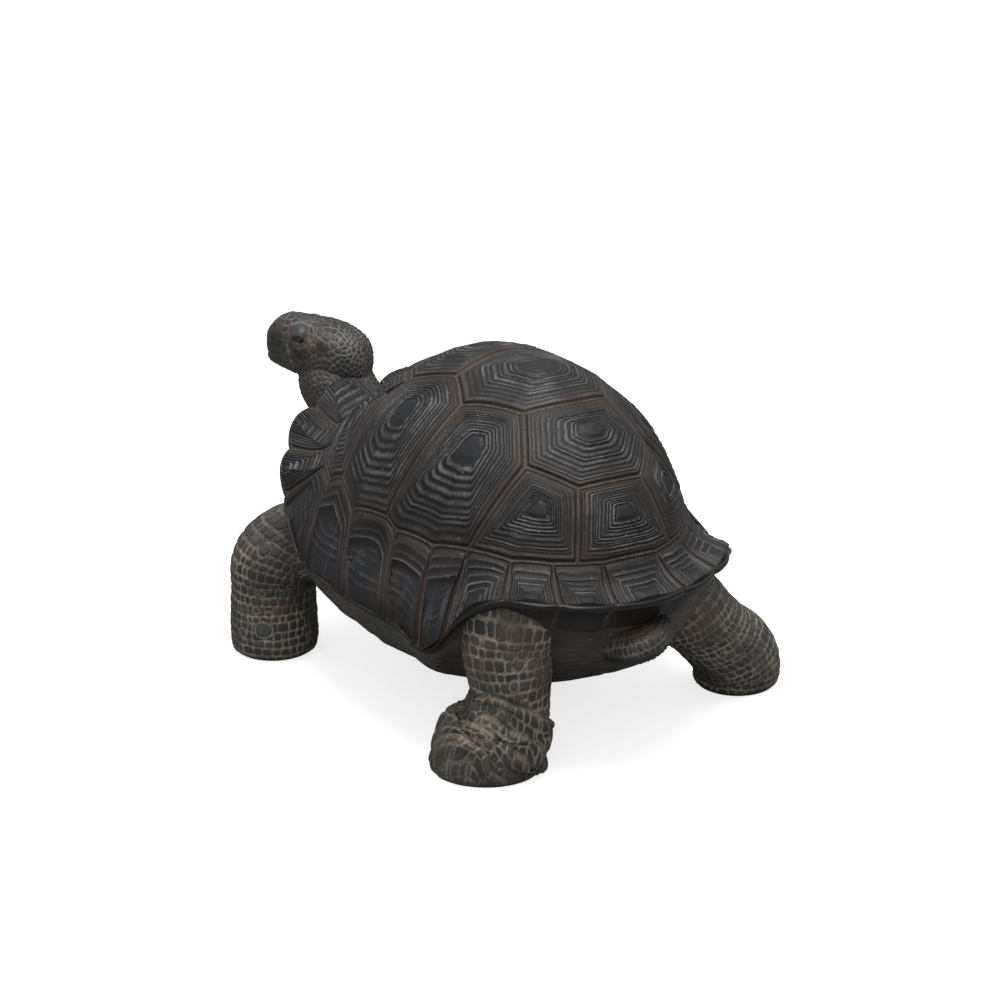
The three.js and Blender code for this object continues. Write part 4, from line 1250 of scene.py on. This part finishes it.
def headRows():
    stations = np.array(headForm["stations"], float)
    crown, spare = smoothLine(stations[:, [0, 1, 3]], headForm["rows"])
    jaw, spare = smoothLine(stations[:, [0, 2, 3]], headForm["rows"])
    angle = roundAngles(headForm["columns"])
    c, s = np.cos(angle), np.sin(angle)
    cheek = mixed(jaw[:, 1], crown[:, 1], headForm["cheekLine"])[:, None]
    out = jaw[:, 2:] * np.sign(c) * np.abs(c) ** headForm["boxiness"]
    tall = np.where(s > 0, crown[:, 1:2] - cheek, cheek - jaw[:, 1:2])
    level = cheek + tall * np.sign(s) * np.abs(s) ** headForm["boxiness"]
    return packed(crown[:, :1], out, level)


def fromHead(points):
    x, y = turned(points[..., 0], points[..., 1], headPlace["yaw"])
    return packed(x + headPlace["x"], y + headPlace["y"], points[..., 2] + headPlace["z"])


def toHead(points):
    x, y = turned(points[..., 0] - headPlace["x"], points[..., 1] - headPlace["y"], -headPlace["yaw"])
    return packed(x, y, points[..., 2] - headPlace["z"])


def scatterSeeds(points, sizes, seed):  # even seeds over the surface, at the size asked for at each point
    dice = np.random.default_rng(seed)
    free = np.ones(len(points), bool)
    seeds = []
    for i in dice.permutation(len(points)):
        if free[i]:
            seeds.append(i)
            free &= np.sum((points - points[i]) ** 2, axis=1) > (0.82 * sizes[i]) ** 2
    return points[seeds]


def surfaceCells(points, sizes, seed):  # distance to the nearest groove, and a number for each scale
    seeds = scatterSeeds(points, sizes, seed)
    tree = KDTree(len(seeds))
    for i, spot in enumerate(seeds):
        tree.insert(spot, i)
    tree.balance()
    near = np.array([[hit[1] for hit in tree.find_n(point, 7)] for point in points])
    own = seeds[near[:, 0]]
    border = np.full(len(points), 99.0)
    for k in range(1, 7):
        other = seeds[near[:, k]]
        gap = other - own
        half = np.sum(((own + other) / 2 - points) * gap, axis=1) / np.linalg.norm(gap, axis=1)
        border = np.minimum(border, half)
    return border, hashed(packed(near[:, 0], 0, 0), seed)


def nearLine(points, line):  # distance to a bent line
    best = np.full(len(points), 999.0)
    for start, end in zip(np.array(line, float), np.array(line[1:], float)):
        part = np.clip((points - start) @ (end - start) / np.sum((end - start) ** 2), 0, 1)
        best = np.minimum(best, np.linalg.norm(points - start - part[:, None] * (end - start), axis=1))
    return best


def addBall(side, extra, segments, rings):  # a ball round the middle of an eye
    place = (fromHead(np.array([eyeBall["x"], side * eyeBall["y"], eyeBall["z"]])) + shift) * mm
    radius = (eyeBall["radius"] + extra) * mm
    bpy.ops.object.select_all(action="DESELECT")
    bpy.ops.mesh.primitive_uv_sphere_add(segments=segments, ring_count=rings, radius=radius, location=place)
    bpy.ops.object.transform_apply(location=True, rotation=True, scale=True)
    return bpy.context.object


def joinedHead():  # the head, the neck and both lids, melted into one skin
    plan = headForm
    grid = fromHead(headRows())
    ends = [np.broadcast_to(row.mean(axis=0), row.shape)[None] for row in (grid[0], grid[-1])]
    head = addWrap("skin_head", np.concatenate([ends[0], grid, ends[1]])[::-1], {})
    parts = [head, addLimb("skin_neck", limbRows(neckPlan)[0], {})]
    parts += [addBall(side, plan["lid"], 48, 32) for side in (1, -1)]
    bpy.ops.object.select_all(action="DESELECT")
    for part in parts:
        part.select_set(True)
    bpy.context.view_layer.objects.active = head
    bpy.ops.object.join()
    head.data.remesh_voxel_size = plan["voxel"] * mm
    bpy.ops.object.voxel_remesh()
    smoothing = head.modifiers.new("blend", "SMOOTH")
    smoothing.factor = 0.5
    smoothing.iterations = 8
    bpy.ops.object.modifier_apply(modifier="blend")
    return head


def headZones(own):  # how far each point belongs to each part of the head
    x, y, z = own.T
    side = packed(x, np.abs(y), z)
    eyeAway = np.linalg.norm(side - np.array([eyeBall["x"], eyeBall["y"], eyeBall["z"]]), axis=1)
    edge = eyeBall["radius"] + headForm["lid"]
    opening = (side - np.array(headForm["opening"])) / np.array(headForm["openingHalf"])
    nape = smoothStep((-x - 12) / 14)
    zone = {"nape": nape}
    for name, (place, reach, deep, dark, rust) in headSpots.items():
        zone[name] = bell(np.linalg.norm(side - np.array(place), axis=1), reach)
    zone["throat"] = smoothStep((-z - 7) / 8) * smoothStep((24 - x) / 8) * (1 - nape)
    zone["cheek"] = smoothStep((9 - z) / 6) * (1 - nape) * smoothStep((22 - x) / 4)
    zone["beak"] = smoothStep((x - 23) / 5)
    zone["face"] = smoothStep((x + 3) / 5) * smoothStep((19 - np.abs(z - 4)) / 4) * smoothStep((23.5 - z) / 2)
    zone["lid"] = smoothStep((edge + 0.7 - eyeAway) / 0.8)
    zone["calm"] = np.clip(
        np.maximum.reduce([0.75 * zone["beak"], zone["lid"], 0.35 * zone["face"], zone["drum"]]), 0, 1
    )
    away = {name: nearLine(side, line) for name, line in headLines.items()}
    away["mouth"] = nearLine(own[:, [0, 2]], headForm["mouth"])
    away["nostril"] = np.linalg.norm(side - np.array(headForm["nostril"]), axis=1)
    away["opening"] = np.sqrt(np.sum(opening**2, axis=1))
    zone["open"] = smoothStep((1.15 - away["opening"]) / 0.3)
    return zone, away


def headRelief(points, height, zone, away):  # how far each point stands out
    lift = height * (1 - zone["calm"])
    for name, (tall, reach) in lineRelief.items():
        lift = lift + tall * bell(away[name], reach)
    for name, (place, reach, deep, dark, rust) in headSpots.items():
        lift = lift - deep * zone[name]
    lift = lift + 0.3 * cloud(points, 6.0, 12) * zone["face"]
    return lift - 2.6 * zone["open"] + 0.45 * zone["lid"] * bell(away["opening"] - 1.5, 0.22)


def headMasks(points, own, groove, scales, zone, away):
    look = headPaint
    border, code = scales
    lid, beak, throat = zone["lid"], zone["beak"], zone["throat"]
    bare = 1 - zone["calm"]
    groove = look["groove"] * groove * bare * (1 - look["throatFade"] * throat)
    groove = groove * (1 - look["cheekFade"] * zone["cheek"])
    for name, (strength, reach) in linePaint.items():
        groove = np.maximum(groove, strength * bell(away[name], reach))
    streaks = cloud(own * np.array([1, 1, 0.6]), 5.0, 21)
    groove = np.maximum(groove, look["beakLine"] * beak * smoothStep(1.4 * streaks - 0.3))
    groove = np.maximum(groove, look["lidLine"] * lid * bell(away["opening"] - 2.3, 0.12))
    rust = look["openRust"] * zone["open"]
    rust = rust + look["throatRust"] * throat * smoothStep(0.5 + cloud(points, 13.0, 31))
    rust = rust + look["patchRust"] * smoothStep(cloud(points, 9.0, 33) * 1.6 - 0.4) * (1 - lid)
    for name, (strength, reach) in lineRust.items():
        rust = rust + strength * bell(away[name], reach)
    dark = look["nostrilDark"] * bell(away["nostril"], 1.5)
    for name, spot in headSpots.items():
        dark = dark + spot[3] * zone[name]
        rust = rust + spot[4] * zone[name]
    tone = (0.05 + 0.4 * code) * (1 - 0.5 * beak) * (1 - 0.4 * zone["nape"])
    tone = mixed(tone, 0.12 + 0.3 * cloud(points, 4.0, 41), np.maximum(zone["face"], lid))
    # shiny scales and the lids are glossy, and the skin paint gives them a bluish painted sheen
    shinyWithSheen = smoothStep((code - 0.9) / 0.04) * smoothStep((border - 0.9) / 0.6) * bare
    return {
        "paint": packed(groove, np.clip(tone, 0, 1), np.clip(rust, 0, 1)),
        "relief": packed(np.clip(dark, 0, 1), np.clip(look["lidGloss"] * lid + shinyWithSheen, 0, 1), 1 - throat),
    }


def makeHead():
    head = joinedHead()
    points = readVectors(head, "co").astype(float) / mm - shift
    normals = readVectors(head, "normal").astype(float)
    own = toHead(points)
    zone, away = headZones(own)
    sizes = mixed(headScales["size"], headScales["napeSize"], zone["nape"])
    sizes = sizes * mixed(1.0, headScales["small"], np.maximum(zone["throat"], zone["cheek"]))
    scales = surfaceCells(points, sizes, 5)
    height, groove = scaleRelief(*scales, headScales)
    movePoints(head, points + normals * headRelief(points, height, zone, away)[:, None])
    head.data.update()
    bpy.ops.object.shade_smooth()
    addMasks(head, headMasks(points, own, groove, scales, zone, away))
    finishPiece(head, "skin", skinMaterial, "head", "neck")
    print("head points", len(points))


makeHead()


def makeEyeMaterial():
    material, tree, shader = newMaterial("eyePaint", 0.12, coat=1.0, coatRoughness=0.03)
    shader.inputs["Base Color"].default_value = (0.012, 0.007, 0.005, 1)
    return material


eyeMaterial = makeEyeMaterial()
for node, side in (("eye_left", 1), ("eye_right", -1)):
    piece = addBall(side, 0, 64, 40)
    piece.name = f"gloss_{node}"
    bpy.ops.object.shade_smooth()
    finishPiece(piece, "eye", eyeMaterial, node)
print("head, neck and eyes made")

# camera, light and floor
view = {"azimuth": 30.58, "elevation": 20.16, "distance": 1772.4, "target": (0, -1.81, 137.16), "lens": 90.75}


def addCamera():
    a, e = math.radians(view["azimuth"]), math.radians(view["elevation"])
    back = Vector((-math.cos(e) * math.cos(a), math.cos(e) * math.sin(a), math.sin(e)))
    target = Vector(np.array(view["target"]) + shift) * mm
    bpy.ops.object.camera_add(location=target + back * view["distance"] * mm)
    camera = bpy.context.object
    camera.rotation_euler = back.to_track_quat("Z", "Y").to_euler()
    camera.data.lens = view["lens"]
    camera.data.sensor_width = 36
    camera.data.clip_end = 100
    bpy.context.scene.camera = camera


studio = {
    "lamps": {  # place, size, power and colour
        "overhead": ((-0.28, 0.15, 1.9), 1.3, 26, (1.0, 0.99, 0.97)),
        "front": ((-2.0, 1.2, 1.3), 1.0, 7, (0.97, 0.98, 1.0)),
    },
    "aim": (0, 0, 0.12), "floorBounce": 0.24, "floorSeen": 0.6, "floorGlow": 0.74, "air": (0.18, 0.75),
}


def addSoftbox(name, place, size, power, colour):
    bpy.ops.object.light_add(type="AREA", location=place)
    light = bpy.context.object
    light.name = name
    light.data.shape = "DISK"
    light.data.size = size
    light.data.energy = power
    light.data.color = colour
    light.rotation_euler = (Vector(place) - Vector(studio["aim"])).to_track_quat("Z", "Y").to_euler()


def addFloor():  # seen as a white sweep, but it throws little light back up under the shell
    bpy.ops.mesh.primitive_plane_add(size=40, location=(0, 0, 0))
    floor = bpy.context.object
    floor.name = "floor"
    material, tree, shader = newMaterial("paleFloor", 0.95)
    seen = addNode(tree, "ShaderNodeLightPath").outputs["Is Camera Ray"]
    base = blendColour(tree, seen, (studio["floorBounce"],) * 3, (studio["floorSeen"],) * 3)
    tree.links.new(base, shader.inputs["Base Color"])
    shader.inputs["Emission Color"].default_value = (1, 1, 1, 1)
    tree.links.new(compute(tree, "MULTIPLY", seen, studio["floorGlow"]), shader.inputs["Emission Strength"])
    floor.data.materials.append(material)


def addStudioAir():  # a white room to the eye, with most of its light from above
    world = bpy.data.worlds.new("studio")
    world.use_nodes = True
    tree = world.node_tree
    background = tree.nodes["Background"]
    place = addNode(tree, "ShaderNodeTexCoord").outputs["Generated"]
    parts = addNode(tree, "ShaderNodeSeparateXYZ")
    tree.links.new(place, parts.inputs[0])
    glow = ramped(tree, parts.outputs["Z"], -0.1, 0.9, *studio["air"])
    seen = addNode(tree, "ShaderNodeLightPath").outputs["Is Camera Ray"]
    strength = compute(tree, "MULTIPLY_ADD", compute(tree, "SUBTRACT", 1.0, seen), glow, seen)
    tree.links.new(strength, background.inputs["Strength"])
    background.inputs["Color"].default_value = (1.0, 1.0, 1.0, 1)
    bpy.context.scene.world = world


addCamera()
for name, lamp in studio["lamps"].items():
    addSoftbox(name, *lamp)
addFloor()
addStudioAir()
bpy.context.scene.view_settings.view_transform = "Standard"
print("camera, light and floor placed")
